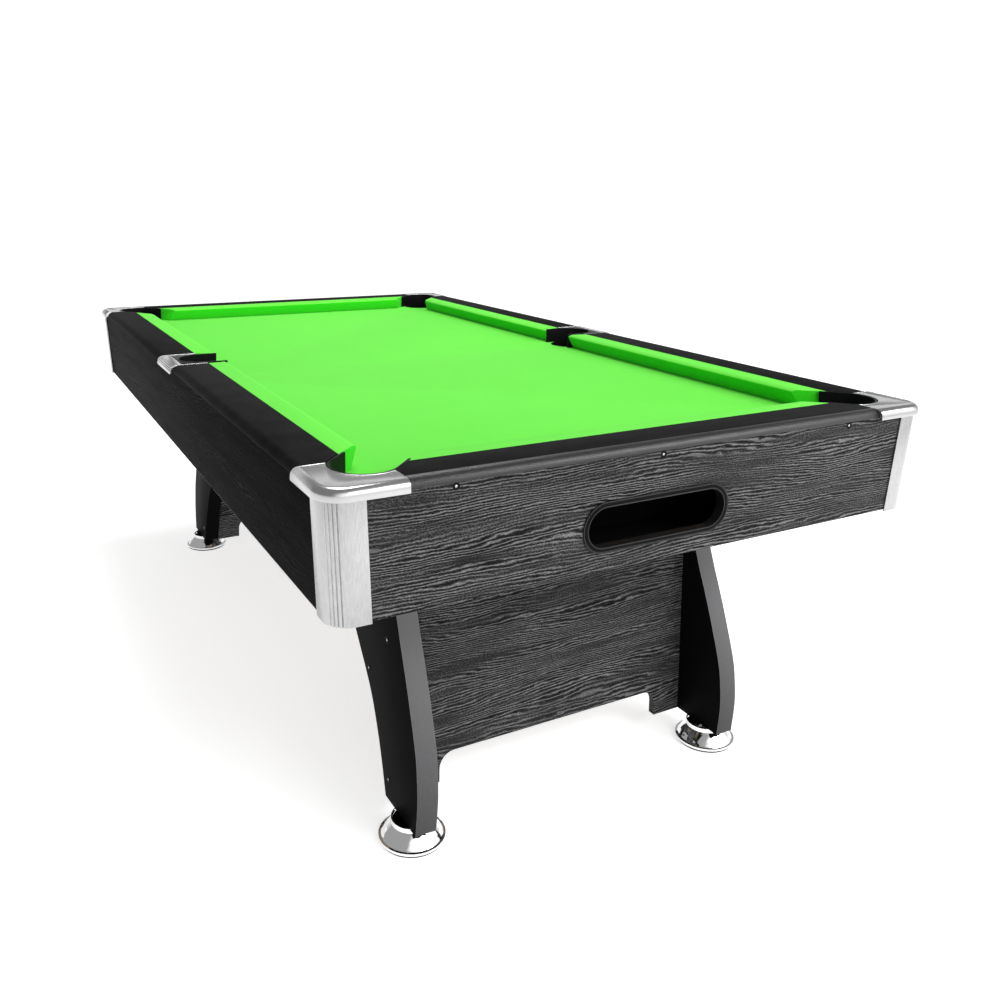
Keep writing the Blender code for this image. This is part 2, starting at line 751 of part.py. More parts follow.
def make_feet(chrome, steel, plastic):
    """Levelling feet: a chrome bell and its stud turn together on a plastic pad."""
    for name, (sx, sy) in CORNERS.items():
        axis = bpy.data.objects.new(f"foot_axis_{name}", None)
        axis.location = (sx * LEG_X, sy * FOOT_Y, 0)
        PARTS.objects.link(axis)
        head = PAD_THICKNESS + GAP
        stud = [(0, STUD_TOP), (STUD_RADIUS - 0.001, STUD_TOP), (STUD_RADIUS, STUD_TOP - 0.001)]
        stud += [(STUD_RADIUS, head + 0.006), (0.009, head + 0.006), (0.009, head), (0, head)]
        hub = PAD_THICKNESS + 0.005
        pad = [(0, PAD_THICKNESS), (0.0095, PAD_THICKNESS), (0.0095, hub), (0.014, hub)]
        pad += [(0.014, PAD_THICKNESS), (PAD_RADIUS, PAD_THICKNESS), (PAD_RADIUS, 0), (0, 0)]
        for piece, material in (
            (turned("foot_dome_" + name, dome_profile(), 28), chrome),
            (turned("foot_stud_" + name, stud, 16), steel),
            (turned("foot_pad_" + name, pad, 28), plastic),
        ):
            piece.parent = axis
            piece.data.materials.append(material)


def main():
    start_scene()
    vinyl = make_material("black_vinyl", (0.025, 0.025, 0.028), 0.45)
    cloth = make_material("green_cloth", (0.13, 0.86, 0.08), 0.95)
    board = make_material("fibreboard", (0.42, 0.30, 0.19), 0.85)
    silver = make_material("silver_casting", (0.78, 0.78, 0.79), 0.28, 1.0)
    wood = make_material("black_wood_grain", (0.06, 0.06, 0.06), 0.55)
    black = make_material("black_laminate", (0.02, 0.02, 0.02), 0.50)
    chrome = make_material("chrome", (0.88, 0.88, 0.90), 0.06, 1.0)
    steel = make_material("zinc_steel", (0.62, 0.62, 0.64), 0.35, 1.0)
    plastic = make_material("black_plastic", (0.015, 0.015, 0.016), 0.40)
    mouths, holes = pocket_cutters()
    make_bed(holes, board, cloth)
    make_end_rails(mouths, vinyl, cloth)
    make_side_rails(mouths, vinyl, cloth)
    make_corner_caps(mouths, silver)
    make_side_castings(silver)
    for name, pocket in POCKETS.items():
        make_liner("pocket_liner_" + name, pocket, plastic)
    make_aprons(wood, plastic)
    make_corner_posts(silver)
    make_ball_return(plastic)
    make_beams(board)
    make_legs(black, wood)
    make_feet(chrome, steel, plastic)


main()
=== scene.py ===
"""Pool table: the visible surfaces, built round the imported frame.

Run as a script, it registers the tools of a small add-on and then runs each of them in turn.
X runs across the table, Y along it and Z up, in metres; the ball return opens on the -Y end.
"""

import math

import bmesh
import bpy
from mathutils import Matrix, Vector


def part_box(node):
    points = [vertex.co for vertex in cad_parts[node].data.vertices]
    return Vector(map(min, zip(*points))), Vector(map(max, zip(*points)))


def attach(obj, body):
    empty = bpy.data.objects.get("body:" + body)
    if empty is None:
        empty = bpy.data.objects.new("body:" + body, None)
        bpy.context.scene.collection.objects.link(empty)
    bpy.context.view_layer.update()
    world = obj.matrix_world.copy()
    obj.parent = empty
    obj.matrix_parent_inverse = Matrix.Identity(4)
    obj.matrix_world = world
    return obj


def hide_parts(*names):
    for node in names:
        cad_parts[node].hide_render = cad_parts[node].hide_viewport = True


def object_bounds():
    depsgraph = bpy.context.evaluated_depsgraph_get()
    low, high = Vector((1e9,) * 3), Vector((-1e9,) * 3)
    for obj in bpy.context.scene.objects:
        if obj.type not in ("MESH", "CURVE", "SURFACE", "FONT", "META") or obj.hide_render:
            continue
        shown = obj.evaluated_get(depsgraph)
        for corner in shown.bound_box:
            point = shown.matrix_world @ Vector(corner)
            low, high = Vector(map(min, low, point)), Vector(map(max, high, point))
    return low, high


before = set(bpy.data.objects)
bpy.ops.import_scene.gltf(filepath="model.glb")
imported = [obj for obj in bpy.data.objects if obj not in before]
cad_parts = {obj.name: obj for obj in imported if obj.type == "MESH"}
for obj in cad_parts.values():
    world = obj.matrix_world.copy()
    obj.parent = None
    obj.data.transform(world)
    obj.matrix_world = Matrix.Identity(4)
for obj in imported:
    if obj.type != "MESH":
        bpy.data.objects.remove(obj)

bl_info = {
    "name": "Pool Table",
    "version": (1, 0, 0),
    "blender": (4, 5, 0),
    "location": "View3D > Sidebar > Pool Table",
    "description": "Builds the visible surfaces of a pool table round its frame",
    "category": "Object",
}

CAD_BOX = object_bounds()
HALF_X, HALF_Y, TOP = CAD_BOX[1]
GAP = 0.0003  # between pieces that touch
SNUG = 0.0007  # round a pocket liner
MERGE = 0.000005  # points closer than this are one
CASTING_ROOM = 0.022  # height of the castings' hollow above the rails' underside
DEEP, CLEAR = 0.05, 0.01  # reach of a cutter below and above the table's top
EASED = {  # rounding of each kind of piece's small edges
    "cushion": 0.0011,
    "rail": 0.0009,
    "casting": 0.0007,
    "pad": 0.0006,
    "ring": 0.0005,
    "post": 0.0005,
    "cap": 0.0004,
    "bell": 0.0003,
}
CORNERS = {
    "front_left": (-1, -1),
    "front_right": (1, -1),
    "back_left": (-1, 1),
    "back_right": (1, 1),
}
SIDES = {"left": -1, "right": 1}
ENDS = {"front": -1, "back": 1}

# Places of the small screws: along an end apron's top, in a leg as (y, z) and in the tray as (x, y)
APRON_SCREW_DROP = 0.0065
APRON_SCREW_SPREAD = 0.40
LEG_SCREWS = ((0.714, 0.342), (0.629, 0.250), (0.720, 0.078), (0.560, 0.560), (0.640, 0.560))
TRAY_SCREWS = ((0.030, -0.969), (0.062, -0.969))
TRAY_FLOOR = 0.003

# The outline's (u, v, thickness) become (x, z, y) or (y, z, x)
STAND_ACROSS = Matrix(((1, 0, 0, 0), (0, 0, 1, 0), (0, 1, 0, 0), (0, 0, 0, 1)))
STAND_ALONG = Matrix(((0, 0, 1, 0), (1, 0, 0, 0), (0, 1, 0, 0), (0, 0, 0, 1)))


# ---------------------------------------------------------------- settings


def number(name, description, default, unit="NONE"):
    return bpy.props.FloatProperty(
        name=name, description=description, default=default, unit=unit, precision=4
    )


def length(name, description, default):
    return number(name, description, default, "LENGTH")


def rotation(name, description, degrees):
    return bpy.props.FloatProperty(
        name=name,
        description=description,
        default=math.radians(degrees),
        subtype="ANGLE",
        unit="ROTATION",
    )


def colour(name, description, default):
    return bpy.props.FloatVectorProperty(
        name=name, description=description, default=default, subtype="COLOR", size=3, min=0, max=1
    )


class TableShape(bpy.types.PropertyGroup):
    """Sizes that the frame's boxes don't give."""

    apron_lean: number("Apron lean", "How far the cabinet leans inwards for each metre down", 0.078)
    rail_rounding: length("Rail rounding", "Radius of the rails' outer top edge", 0.015)
    rail_step: length("Rail step", "Depth of the rail that overhangs the apron", 0.0205)
    nose_rounding: length("Nose rounding", "Radius of the cushions' nose", 0.0035)
    cap_arm: length("Cap arm", "Reach of a corner cap along each side", 0.130)
    cap_radius: length("Cap corner", "Radius of a corner cap seen from above", 0.045)
    cap_rounding: length("Cap rounding", "Radius of the castings' outer top edge", 0.012)
    cap_wall: length("Cap wall", "Thickness of the castings' skirt", 0.0063)
    cap_border: length("Cap border", "Width of the raised line round a cap's flat top", 0.0016)
    casting_arm: length("Casting arm", "Width of a side casting's arms", 0.0055)
    casting_back: length("Casting back", "Depth of a side casting outside its pocket", 0.0285)
    rib_depth: length("Rib depth", "Depth of the grooves round a side casting", 0.0015)
    corner_pocket_inset: length("Corner pocket inset", "Pocket centre from the table's outline", 0.103)
    side_pocket_inset: length("Side pocket inset", "Pocket centre from the table's outline", 0.087)
    liner_radius: length("Liner radius", "Outer radius of a pocket liner", 0.055)
    liner_wall: length("Liner wall", "Thickness of a pocket liner", 0.0045)
    liner_ear: length("Liner ear", "Reach of a liner's ears towards the bed", 0.047)
    liner_rim: length("Liner rim", "Rounding of a liner's top rim", 0.0016)
    jaw_slope: number("Jaw slope", "How fast the side pockets' jaws spread towards the bed", 0.304)
    post_radius: length("Post radius", "Radius of a corner post", 0.038)
    post_arm: length("Post arm", "Reach of a corner post along each apron", 0.060)
    post_wall: length("Post wall", "Thickness of a corner post", 0.003)
    flute_depth: length("Flute depth", "Depth of the flutes in a corner post", 0.0015)
    bezel_lip: length("Bezel lip", "Width of the raised lips of the ball return ring", 0.0016)
    board_edge: length("Board edge", "Rounding of the edges of boards", 0.0008)
    thread_pitch: length("Thread pitch", "Rise of a levelling stud for each turn", 0.0015)
    screw_head: length("Screw head", "Radius of a panel screw's head", 0.0021)


class TableColours(bpy.types.PropertyGroup):
    """Colours of the finishes, as linear light."""

    cloth: colour("Cloth", "Colour of the bed and the cushions", (0.122, 0.665, 0.052))
    # Painted shade: the darker green given to steep cloth faces, for the shade on the cushions' faces
    shaded_cloth: colour("Deep cloth", "Colour of the cloth on steep faces", (0.036, 0.54, 0.013))
    vinyl: colour("Vinyl", "Colour of the rails' wrap", (0.0055, 0.0055, 0.0060))
    laminate: colour("Laminate", "Ground colour of the grained boards", (0.0030, 0.0030, 0.0032))
    grain: colour("Grain", "Colour of the grain's raised lines", (0.185, 0.185, 0.187))
    plain_black: colour("Plain black", "Colour of the legs' broad faces", (0.0022, 0.0022, 0.0024))
    edging: colour("Edging", "Colour of the strips along the legs", (0.070, 0.070, 0.072))
    silver: colour("Silver", "Colour of the caps, castings and posts", (0.58, 0.58, 0.585))
    chrome: colour("Chrome", "Colour of the feet", (0.90, 0.90, 0.91))
    steel: colour("Steel", "Colour of the studs and screws", (0.45, 0.45, 0.46))
    plastic: colour("Plastic", "Colour of liners, ring, tray and gutters", (0.0045, 0.0045, 0.0048))
    board: colour("Board", "Colour of the raw fibreboard", (0.27, 0.22, 0.165))


class TableStage(bpy.types.PropertyGroup):
    """Camera, lights and floor."""

    eye: bpy.props.FloatVectorProperty(
        name="Eye",
        description="Place of the camera",
        default=(-1.0094, -2.2007, 1.1450),
        subtype="TRANSLATION",
    )
    azimuth: rotation("Azimuth", "Direction of view, from +Y towards +X", 27.716)
    dip: rotation("Dip", "How far the view points down", 6.670)
    roll: rotation("Roll", "Tilt of the camera about its line of sight", 0.5025)
    lens: number("Lens", "Focal length in millimetres", 34.187, "CAMERA")
    shift: bpy.props.FloatVectorProperty(
        name="Shift", description="Sideways and upward shift of the lens", default=(0.045, -0.2), size=2
    )
    wall: number("Wall", "Brightness of the pale backdrop", 1.05)
    room: number("Room", "Brightness of the rest of the room", 0.36)
    key: number("Key", "Power of the front lamp in watts", 95, "POWER")
    top: number("Top", "Power of the overhead lamp in watts", 85, "POWER")
    glow: number("Glow", "Extra brightness of the wall facing the end", 1.6)
    floor: colour("Floor", "Colour of the floor", (0.85, 0.85, 0.85))
    floor_glow: number("Floor glow", "Light of the lit floor", 0.62)


# ---------------------------------------------------------------- shader builder


class Signal:
    """An output of a node. Arithmetic on it adds Math nodes to the same graph."""

    def __init__(self, graph, socket):
        self.graph = graph
        self.socket = socket

    def other(self, output):
        """Another output of the same node."""
        return Signal(self.graph, self.socket.node.outputs[output])

    def math(self, operation, first, second=0.0):
        return self.graph.node("ShaderNodeMath", {"operation": operation}, {0: first, 1: second})

    def __add__(self, other):
        return self.math("ADD", self, other)

    def __radd__(self, other):
        return self.math("ADD", other, self)

    def __sub__(self, other):
        return self.math("SUBTRACT", self, other)

    def __rsub__(self, other):
        return self.math("SUBTRACT", other, self)

    def __mul__(self, other):
        return self.math("MULTIPLY", self, other)

    def __rmul__(self, other):
        return self.math("MULTIPLY", other, self)


class Graph:
    """A node tree being filled, and the methods that add nodes to it."""

    def __init__(self, tree, place):
        self.tree = tree
        self.place = self.node("ShaderNodeTexCoord", output=place)

    def node(self, kind, settings=None, sockets=None, output=0):
        """Adds a node, sets it up, then sets or links its sockets; returns one of its outputs."""
        made = self.tree.nodes.new(kind)
        for key, value in (settings or {}).items():
            setattr(made, key, value)
        for key, value in (sockets or {}).items():
            if isinstance(value, Signal):
                self.tree.links.new(value.socket, made.inputs[key])
            else:
                made.inputs[key].default_value = value
        return Signal(self, made.outputs[output])

    def noise(self, size, detail=2.0, stretch=(1, 1, 1), roughness=0.5, place=None):
        """Smooth noise from 0 to 1 with features about size across, stretched along the axes."""
        scale = [1 / (size * part) for part in stretch]
        spot = self.node("ShaderNodeMapping", None, {"Vector": place or self.place, "Scale": scale})
        values = {"Vector": spot, "Scale": 1.0, "Detail": detail, "Roughness": roughness}
        return self.node("ShaderNodeTexNoise", None, values)

    def band(self, signal, low, high):
        """Nought below low, one above high, and an even slope between them."""
        values = {"Value": signal, "From Min": low, "From Max": high}
        return self.node("ShaderNodeMapRange", {"clamp": True}, values)

    def mix(self, factor, first, second):
        """Goes from the first colour to the second as factor goes from nought to one."""
        ends = [(*end, 1) if isinstance(end, tuple) else end for end in (first, second)]
        return self.node("ShaderNodeMix", {"data_type": "RGBA"}, {0: factor, 6: ends[0], 7: ends[1]}, 2)


class Finish(Graph):
    """A material being made round its Principled shader."""

    def __init__(self, name, constants):
        self.material = bpy.data.materials.new(name)
        self.material.use_nodes = True
        super().__init__(self.material.node_tree, "Object")
        self.shader = self.tree.nodes["Principled BSDF"]
        for socket, value in constants.items():
            self.shader.inputs[socket].default_value = value

    def feed(self, socket, signal):
        self.tree.links.new(signal.socket, self.shader.inputs[socket])

    def emboss(self, height, depth, strength=1.0):
        """Raises the surface by up to depth metres where height is one."""
        values = {"Height": height, "Distance": depth, "Strength": strength}
        self.feed("Normal", self.node("ShaderNodeBump", None, values))

    def coat(self, tone, shade, dark, pale, roughness, height, depth):
        """Takes the shade from dark to pale with tone, then sets the roughness and the relief."""
        self.feed("Base Color", self.mix(tone, dimmed(shade, dark), dimmed(shade, pale)))
        self.feed("Roughness", roughness)
        self.emboss(height, depth)
        return self.material


def dimmed(shade, part):
    return tuple(part * value for value in shade)


def colours():
    return bpy.context.scene.pool_table_colours


# ---------------------------------------------------------------- finishes


def woven_cloth(name):
    """Speed cloth: a fine twill with a short nap and faint cloudy changes of shade."""
    shade = colours().cloth
    made = Finish(name, {"Sheen Weight": 0.05, "Sheen Roughness": 0.5, "Specular IOR Level": 0.1})
    x = made.node("ShaderNodeSeparateXYZ", None, {0: made.place})
    y = x.other(1)
    warp = wave(made, x + y, 0.0012)
    weft = wave(made, x - y, 0.0016)
    nap = made.noise(0.0009, 3.0)
    clouds = made.noise(0.12, 3.0)
    weave = 0.35 * warp + 0.25 * weft + 0.4 * nap
    tone = 0.4 * made.band(clouds, 0.2, 0.8) + 0.6 * weave
    lit = made.mix(tone, dimmed(shade, 0.95), dimmed(shade, 1.05))
    # Painted shade: faces that turn away from upright are coloured a darker green, for the shade on the
    # cushions' faces
    normal = made.node("ShaderNodeTexCoord", output="Normal")
    up = made.node("ShaderNodeSeparateXYZ", None, {0: normal}).other(2)
    steep = made.band(up, 0.85, 0.35)
    made.feed("Base Color", made.mix(steep, lit, tuple(colours().shaded_cloth)))
    made.feed("Roughness", 0.82 + 0.15 * nap)
    made.emboss(weave, 0.00025)
    return made.material


def wave(made, phase, pitch):
    """A sine wave from 0 to 1 along phase, which is in metres."""
    turns = phase * (2 * math.pi / pitch)
    return 0.5 + 0.5 * made.node("ShaderNodeMath", {"operation": "SINE"}, {0: turns})


def wrapped_vinyl(name, gloss):
    """Black vinyl with a fine pebbled grain, which is polished where it is stretched tight."""
    shade = colours().vinyl
    made = Finish(name, {"Specular IOR Level": gloss})
    values = {"Vector": made.place, "Scale": 520.0}
    pebbles = made.node("ShaderNodeTexVoronoi", {"feature": "SMOOTH_F1"}, values)
    fine = made.noise(0.0011, 3.0)
    broad = made.noise(0.05, 2.0)
    tone = 0.55 * fine + 0.45 * broad
    worn = made.band(tone, 0.35, 0.65)
    roughness = 0.54 - 0.40 * gloss + 0.12 * fine
    return made.coat(worn, shade, 0.4, 1.8, roughness, 0.7 * pebbles + 0.3 * fine, 0.0006)


def grained_laminate(name, contrast, gloss):
    """Black laminate embossed with wavy lines of wood grain that run along each board. A low contrast and
    gloss make the darker copy that is painted shade on the side boards.
    """
    shades = colours()
    made = Finish(name, {"Specular IOR Level": gloss})
    x = made.node("ShaderNodeSeparateXYZ", None, {0: made.place})
    up = x.other(2)
    flat = made.node("ShaderNodeCombineXYZ", None, {0: x + x.other(1), 1: up})
    # Growth rings: a broad swell bends the lines into long arches, and a small wobble roughens them
    swell = made.noise(0.34, 1.0, (1.7, 0.36, 1), place=flat)
    ripple = made.noise(0.05, 2.0, (2.2, 0.40, 1), place=flat)
    wobble = made.noise(0.009, 2.0, (1.7, 0.6, 1), place=flat)
    rings = up * 185.0 + swell * 15.0 + ripple * 3.0 + wobble * 0.75
    turn = made.node("ShaderNodeMath", {"operation": "SINE"}, {0: rings * (2 * math.pi)})
    line = made.band(turn, 0.15, 0.95)
    groove = made.band(turn, -0.30, -0.95)
    # Some patches show clear lines, others only the pores between them
    clear = made.band(made.noise(0.14, 2.0, (1.9, 0.20, 1), place=flat), 0.34, 0.54)
    broken = made.band(made.noise(0.007, 2.0, (2.4, 0.5, 1), place=flat), 0.25, 0.60)
    pores = made.band(made.noise(0.0024, 3.0, (1.4, 0.8, 1), 0.75, flat), 0.42, 0.62)
    drift = made.band(made.noise(0.07, 2.0, (2.6, 0.5, 1), place=flat), 0.25, 0.75)
    ridge = line * clear * (0.45 + 0.55 * broken) * (0.65 + 0.35 * pores)
    filling = pores * (0.14 + 0.36 * drift) * (1.0 - 0.95 * groove * clear)
    relief = 0.88 * ridge + filling
    made.feed("Base Color", made.mix(contrast * relief, tuple(shades.laminate), tuple(shades.grain)))
    made.feed("Roughness", 0.62 - 0.16 * ridge)
    made.emboss(relief - 0.6 * groove * clear, 0.0006, 0.7)
    return made.material


def plain_laminate(name):
    """Smooth black laminate with a faint upright grain and fine dust."""
    shade = colours().plain_black
    made = Finish(name, {"Specular IOR Level": 0.015})
    grain = made.noise(0.006, 3.0, (1, 1, 9))
    specks = made.noise(0.0015, 2.0)
    tone, relief = 0.6 * grain + 0.4 * specks, 0.5 * grain + 0.5 * specks
    return made.coat(tone, shade, 0.7, 1.6, 0.48 + 0.14 * specks, relief, 0.0001)


def edging_strip(name, highlight_lift):
    """Grey edging of the boards, coloured lighter towards the top as painted light against the apron's
    shadow on the legs. A copy paler by the given factor is the painted highlight along the boards' eased
    edges.
    """
    shade = dimmed(colours().edging, highlight_lift)
    made = Finish(name, {"Specular IOR Level": 0.10})
    up = made.node("ShaderNodeSeparateXYZ", None, {0: made.place}).other(2)
    mottle = made.noise(0.004, 3.0, (1, 1, 2))
    # Painted light: the edging is coloured lighter towards the top, against the shadow that the apron casts
    # on the legs
    rise = made.band(up, 0.05, 0.50)
    tone = 0.85 * rise + 0.15 * mottle
    return made.coat(tone, shade, 0.60, 2.6, 0.55 + 0.12 * mottle, mottle, 0.0001)


def satin_silver(name):
    """Cast caps: satin metal with fine speckle and soft clouding."""
    shade = colours().silver
    made = Finish(name, {"Metallic": 1.0})
    speckle = made.noise(0.0007, 3.0)
    clouds = made.noise(0.03, 3.0)
    tone = 0.5 * speckle + 0.5 * clouds
    return made.coat(tone, shade, 0.70, 0.92, 0.16 + 0.12 * speckle, speckle, 0.00008)


def drawn_silver(name):
    """Extruded posts: satin metal with fine upright streaks from the die."""
    shade = colours().silver
    made = Finish(name, {"Metallic": 1.0})
    streaks = made.noise(0.0016, 3.0, (1, 1, 60))
    flecks = made.noise(0.004, 3.0, (0.7, 0.7, 4))
    tone = 0.6 * streaks + 0.4 * flecks
    drawn = made.band(tone, 0.3, 0.7)
    return made.coat(drawn, shade, 0.64, 0.82, 0.22 + 0.12 * streaks, streaks, 0.00006)


def bright_chrome(name):
    """Chrome plate with faint smudges."""
    shade = colours().chrome
    made = Finish(name, {"Metallic": 1.0})
    smudge = made.noise(0.012, 3.0)
    waves = made.noise(0.016, 1.0)
    return made.coat(smudge, shade, 0.93, 1.05, 0.03 + 0.06 * smudge, waves, 0.0012)


def zinc_steel(name):
    """Zinc-plated studs and screws with a dull, cloudy plate."""
    shade = colours().steel
    made = Finish(name, {"Metallic": 1.0})
    clouds = made.noise(0.003, 3.0)
    return made.coat(clouds, shade, 0.8, 1.1, 0.22 + 0.2 * clouds, clouds, 0.00005)


def moulded_plastic(name, gloss):
    """Moulded black plastic with a fine spark-eroded texture."""
    shade = colours().plastic
    made = Finish(name, {"Specular IOR Level": gloss})
    stipple = made.noise(0.0008, 3.0)
    flow = made.noise(0.04, 2.0)
    tone = 0.5 * stipple + 0.5 * flow
    return made.coat(tone, shade, 0.7, 1.6, 0.26 + 0.14 * stipple, stipple, 0.00012)


def raw_board(name):
    """Raw fibreboard: pale brown with short flat fibres and sanding marks."""
    shade = colours().board
    made = Finish(name, {"Specular IOR Level": 0.2})
    fibres = made.noise(0.0025, 4.0, (1.5, 1.5, 0.4))
    patches = made.noise(0.08, 2.0)
    tone = 0.6 * fibres + 0.4 * patches
    return made.coat(tone, shade, 0.7, 1.2, 0.82 + 0.12 * fibres, fibres, 0.0002)


FINISHES = {
    "speed_cloth": woven_cloth,
    "wrapped_vinyl": lambda name: wrapped_vinyl(name, 0.02),
    "stretched_vinyl": lambda name: wrapped_vinyl(name, 0.50),
    "end_board_grain": lambda name: grained_laminate(name, 1.0, 0.05),
    # Painted shade: the side boards take a darker, nearly grainless copy of the end boards' laminate, for
    # the shade on the table's sides
    "side_board_grain": lambda name: grained_laminate(name, 0.05, 0.008),
    "plain_laminate": plain_laminate,
    "edging_strip": lambda name: edging_strip(name, 1.0),
    # Painted highlight: a paler copy of the edging for the narrow faces along the boards' eased edges
    "trimmed_edge": lambda name: edging_strip(name, 2.5),
    "satin_silver": satin_silver,
    "drawn_silver": drawn_silver,
    "bright_chrome": bright_chrome,
    "zinc_steel": zinc_steel,
    "dull_plastic": lambda name: moulded_plastic(name, 0.03),
    "glossy_plastic": lambda name: moulded_plastic(name, 0.35),
    "raw_board": raw_board,
}


def finish(name):
    """The material of that name, made the first time that a piece asks for it."""
    return bpy.data.materials.get(name) or FINISHES[name](name)


# ---------------------------------------------------------------- mesh tools


def arc(centre, radius, start, end, steps):
    """Points of an arc in degrees, both ends included."""
    points = []
    for i in range(steps + 1):
        angle = math.radians(start + (end - start) * i / steps)
        points.append((centre[0] + radius * math.cos(angle), centre[1] + radius * math.sin(angle)))
    return points


def rectangle(low, high):
    return [low, (high[0], low[1]), high, (low[0], high[1])]


def thicken(work, rise, turn):
    """Pulls the flat faces in work up by rise into a closed solid; turn then stands it up."""
    made = bmesh.ops.extrude_face_region(work, geom=work.faces[:])
    top = [item for item in made["geom"] if isinstance(item, bmesh.types.BMVert)]
    bmesh.ops.translate(work, vec=(0, 0, rise), verts=top)
    bmesh.ops.transform(work, matrix=turn or Matrix(), verts=work.verts)
    bmesh.ops.recalc_face_normals(work, faces=work.faces)
    return work


def prism(outline, low, high, turn=None):
    """A flat outline given thickness from low to high; turn then stands it up."""
    work = bmesh.new()
    work.faces.new([work.verts.new((u, v, low)) for u, v in outline])
    return thicken(work, high - low, turn)


def band_prism(outer, inner, low, high, turn=None):
    """The band between two outlines of as many points, given thickness from low to high."""
    work = bmesh.new()
    rims = []
    for outline in (outer, inner):
        verts = [work.verts.new((u, v, low)) for u, v in outline]
        rims += [work.edges.new((verts[i - 1], verts[i])) for i in range(len(verts))]
    bmesh.ops.bridge_loops(work, edges=rims)
    return thicken(work, high - low, turn)


def turned(profile, steps, centre=(0, 0)):
    """A profile of (radius, height) points spun once round an upright axis."""
    work = bmesh.new()
    verts = [work.verts.new((centre[0] + radius, centre[1], height)) for radius, height in profile]
    edges = [work.edges.new(pair) for pair in zip(verts, verts[1:])]
    if profile[0][0] > 0:
        edges.append(work.edges.new((verts[-1], verts[0])))
    whole = {"angle": 2 * math.pi, "steps": steps, "use_merge": True}
    bmesh.ops.spin(work, geom=verts + edges, cent=(*centre, 0), axis=(0, 0, 1), **whole)
    bmesh.ops.remove_doubles(work, verts=work.verts, dist=MERGE)
    bmesh.ops.recalc_face_normals(work, faces=work.faces)
    return work


def lean(work, sx, sy, level):
    """Slopes upright work inwards below level, as the cabinet slopes."""
    part = bpy.context.scene.pool_table_shape.apron_lean
    slope = Matrix(((1, 0, part * sx, 0), (0, 1, part * sy, 0), (0, 0, 1, 0), (0, 0, 0, 1)))
    raise_it = Matrix.Translation((0, 0, level))
    bmesh.ops.transform(work, matrix=raise_it @ slope @ raise_it.inverted(), verts=work.verts)
    return work


def soften(work, width, segments=2, chosen=None, angle=40):
    """Rounds the edges sharper than angle, or those of them that chosen picks."""
    work.normal_update()
    edges = [
        edge
        for edge in work.edges
        if edge.is_manifold
        and edge.calc_face_angle(0) > math.radians(angle)
        and (chosen is None or chosen(edge))
    ]
    round_edge = {"affect": "EDGES", "profile": 0.5, "material": -1, "clamp_overlap": True}
    bmesh.ops.bevel(work, geom=edges, offset=width, segments=segments, **round_edge)
    return work


def holder(work):
    """A scratch object round a bmesh, which it uses up."""
    mesh = bpy.data.meshes.new("scratch")
    work.to_mesh(mesh)
    work.free()
    item = bpy.data.objects.new("scratch", mesh)
    bpy.context.scene.collection.objects.link(item)
    return item


def carve(work, cutters, operation="DIFFERENCE"):
    """Cuts closed shapes out of work, or joins them to it, and returns the result."""
    base = holder(work)
    tools = [holder(cutter) for cutter in cutters]
    for tool in tools:
        cut = base.modifiers.new("carve", "BOOLEAN")
        cut.operation = operation
        cut.solver = "EXACT"
        cut.object = tool
    graph = bpy.context.evaluated_depsgraph_get()
    result = bmesh.new()
    result.from_mesh(base.evaluated_get(graph).to_mesh())
    for item in [base, *tools]:
        mesh = item.data
        bpy.data.objects.remove(item)
        bpy.data.meshes.remove(mesh)
    bmesh.ops.remove_doubles(result, verts=result.verts, dist=MERGE)
    return result


def gather(works):
    """Joins several bmeshes into the first, as separate shells."""
    scratch = bpy.data.meshes.new("scratch")
    first = works[0]
    for other in works[1:]:
        other.to_mesh(scratch)
        first.from_mesh(scratch)
        other.free()
    bpy.data.meshes.remove(scratch)
    return first


def board_copy(node):
    """A frame board's own shape, merged, flattened and with its edges eased."""
    work = bmesh.new()
    work.from_mesh(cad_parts[node].data)
    bmesh.ops.remove_doubles(work, verts=work.verts, dist=2 * MERGE)
    flat = math.radians(0.5)
    bmesh.ops.dissolve_limit(work, angle_limit=flat, verts=work.verts, edges=work.edges)
    return soften(work, bpy.context.scene.pool_table_shape.board_edge, 2, angle=60)


def eased_edge_faces(work):
    """The narrow faces that run along a board's eased edges."""
    slim = bpy.context.scene.pool_table_shape.board_edge
    return [face for face in work.faces if min(edge.calc_length() for edge in face.edges) < slim]


def piece(name, work, finishes, replaces=(), body="root", smooth=35):
    """Turns a finished bmesh into an object that rides on a body of the frame."""
    mesh = bpy.data.meshes.new(name)
    work.to_mesh(mesh)
    work.free()
    for material in finishes:
        mesh.materials.append(finish(material))
    mesh.shade_smooth()
    mesh.set_sharp_from_angle(angle=math.radians(smooth))
    item = bpy.data.objects.new(name, mesh)
    bpy.context.scene.collection.objects.link(item)
    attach(item, body)
    if replaces:
        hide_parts(*replaces)
    return item


def refinish(node, material):
    """Gives a frame node that stays visible its own finish."""
    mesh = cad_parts[node].data
    mesh.materials.clear()
    mesh.materials.append(finish(material))


# ---------------------------------------------------------------- pockets


def pocket_places():
    """Each pocket's centre and the direction of its mouth in degrees."""
    shape = bpy.context.scene.pool_table_shape
    found = {}
    for name, (sx, sy) in CORNERS.items():
        inset = shape.corner_pocket_inset
        centre = (sx * (HALF_X - inset), sy * (HALF_Y - inset))
        found["corner_" + name] = (centre, math.degrees(math.atan2(-sy, -sx)))
    for name, sx in SIDES.items():
        centre = (sx * (HALF_X - shape.side_pocket_inset), 0.0)
        found["side_" + name] = (centre, 180.0 if sx > 0 else 0.0)
    return found


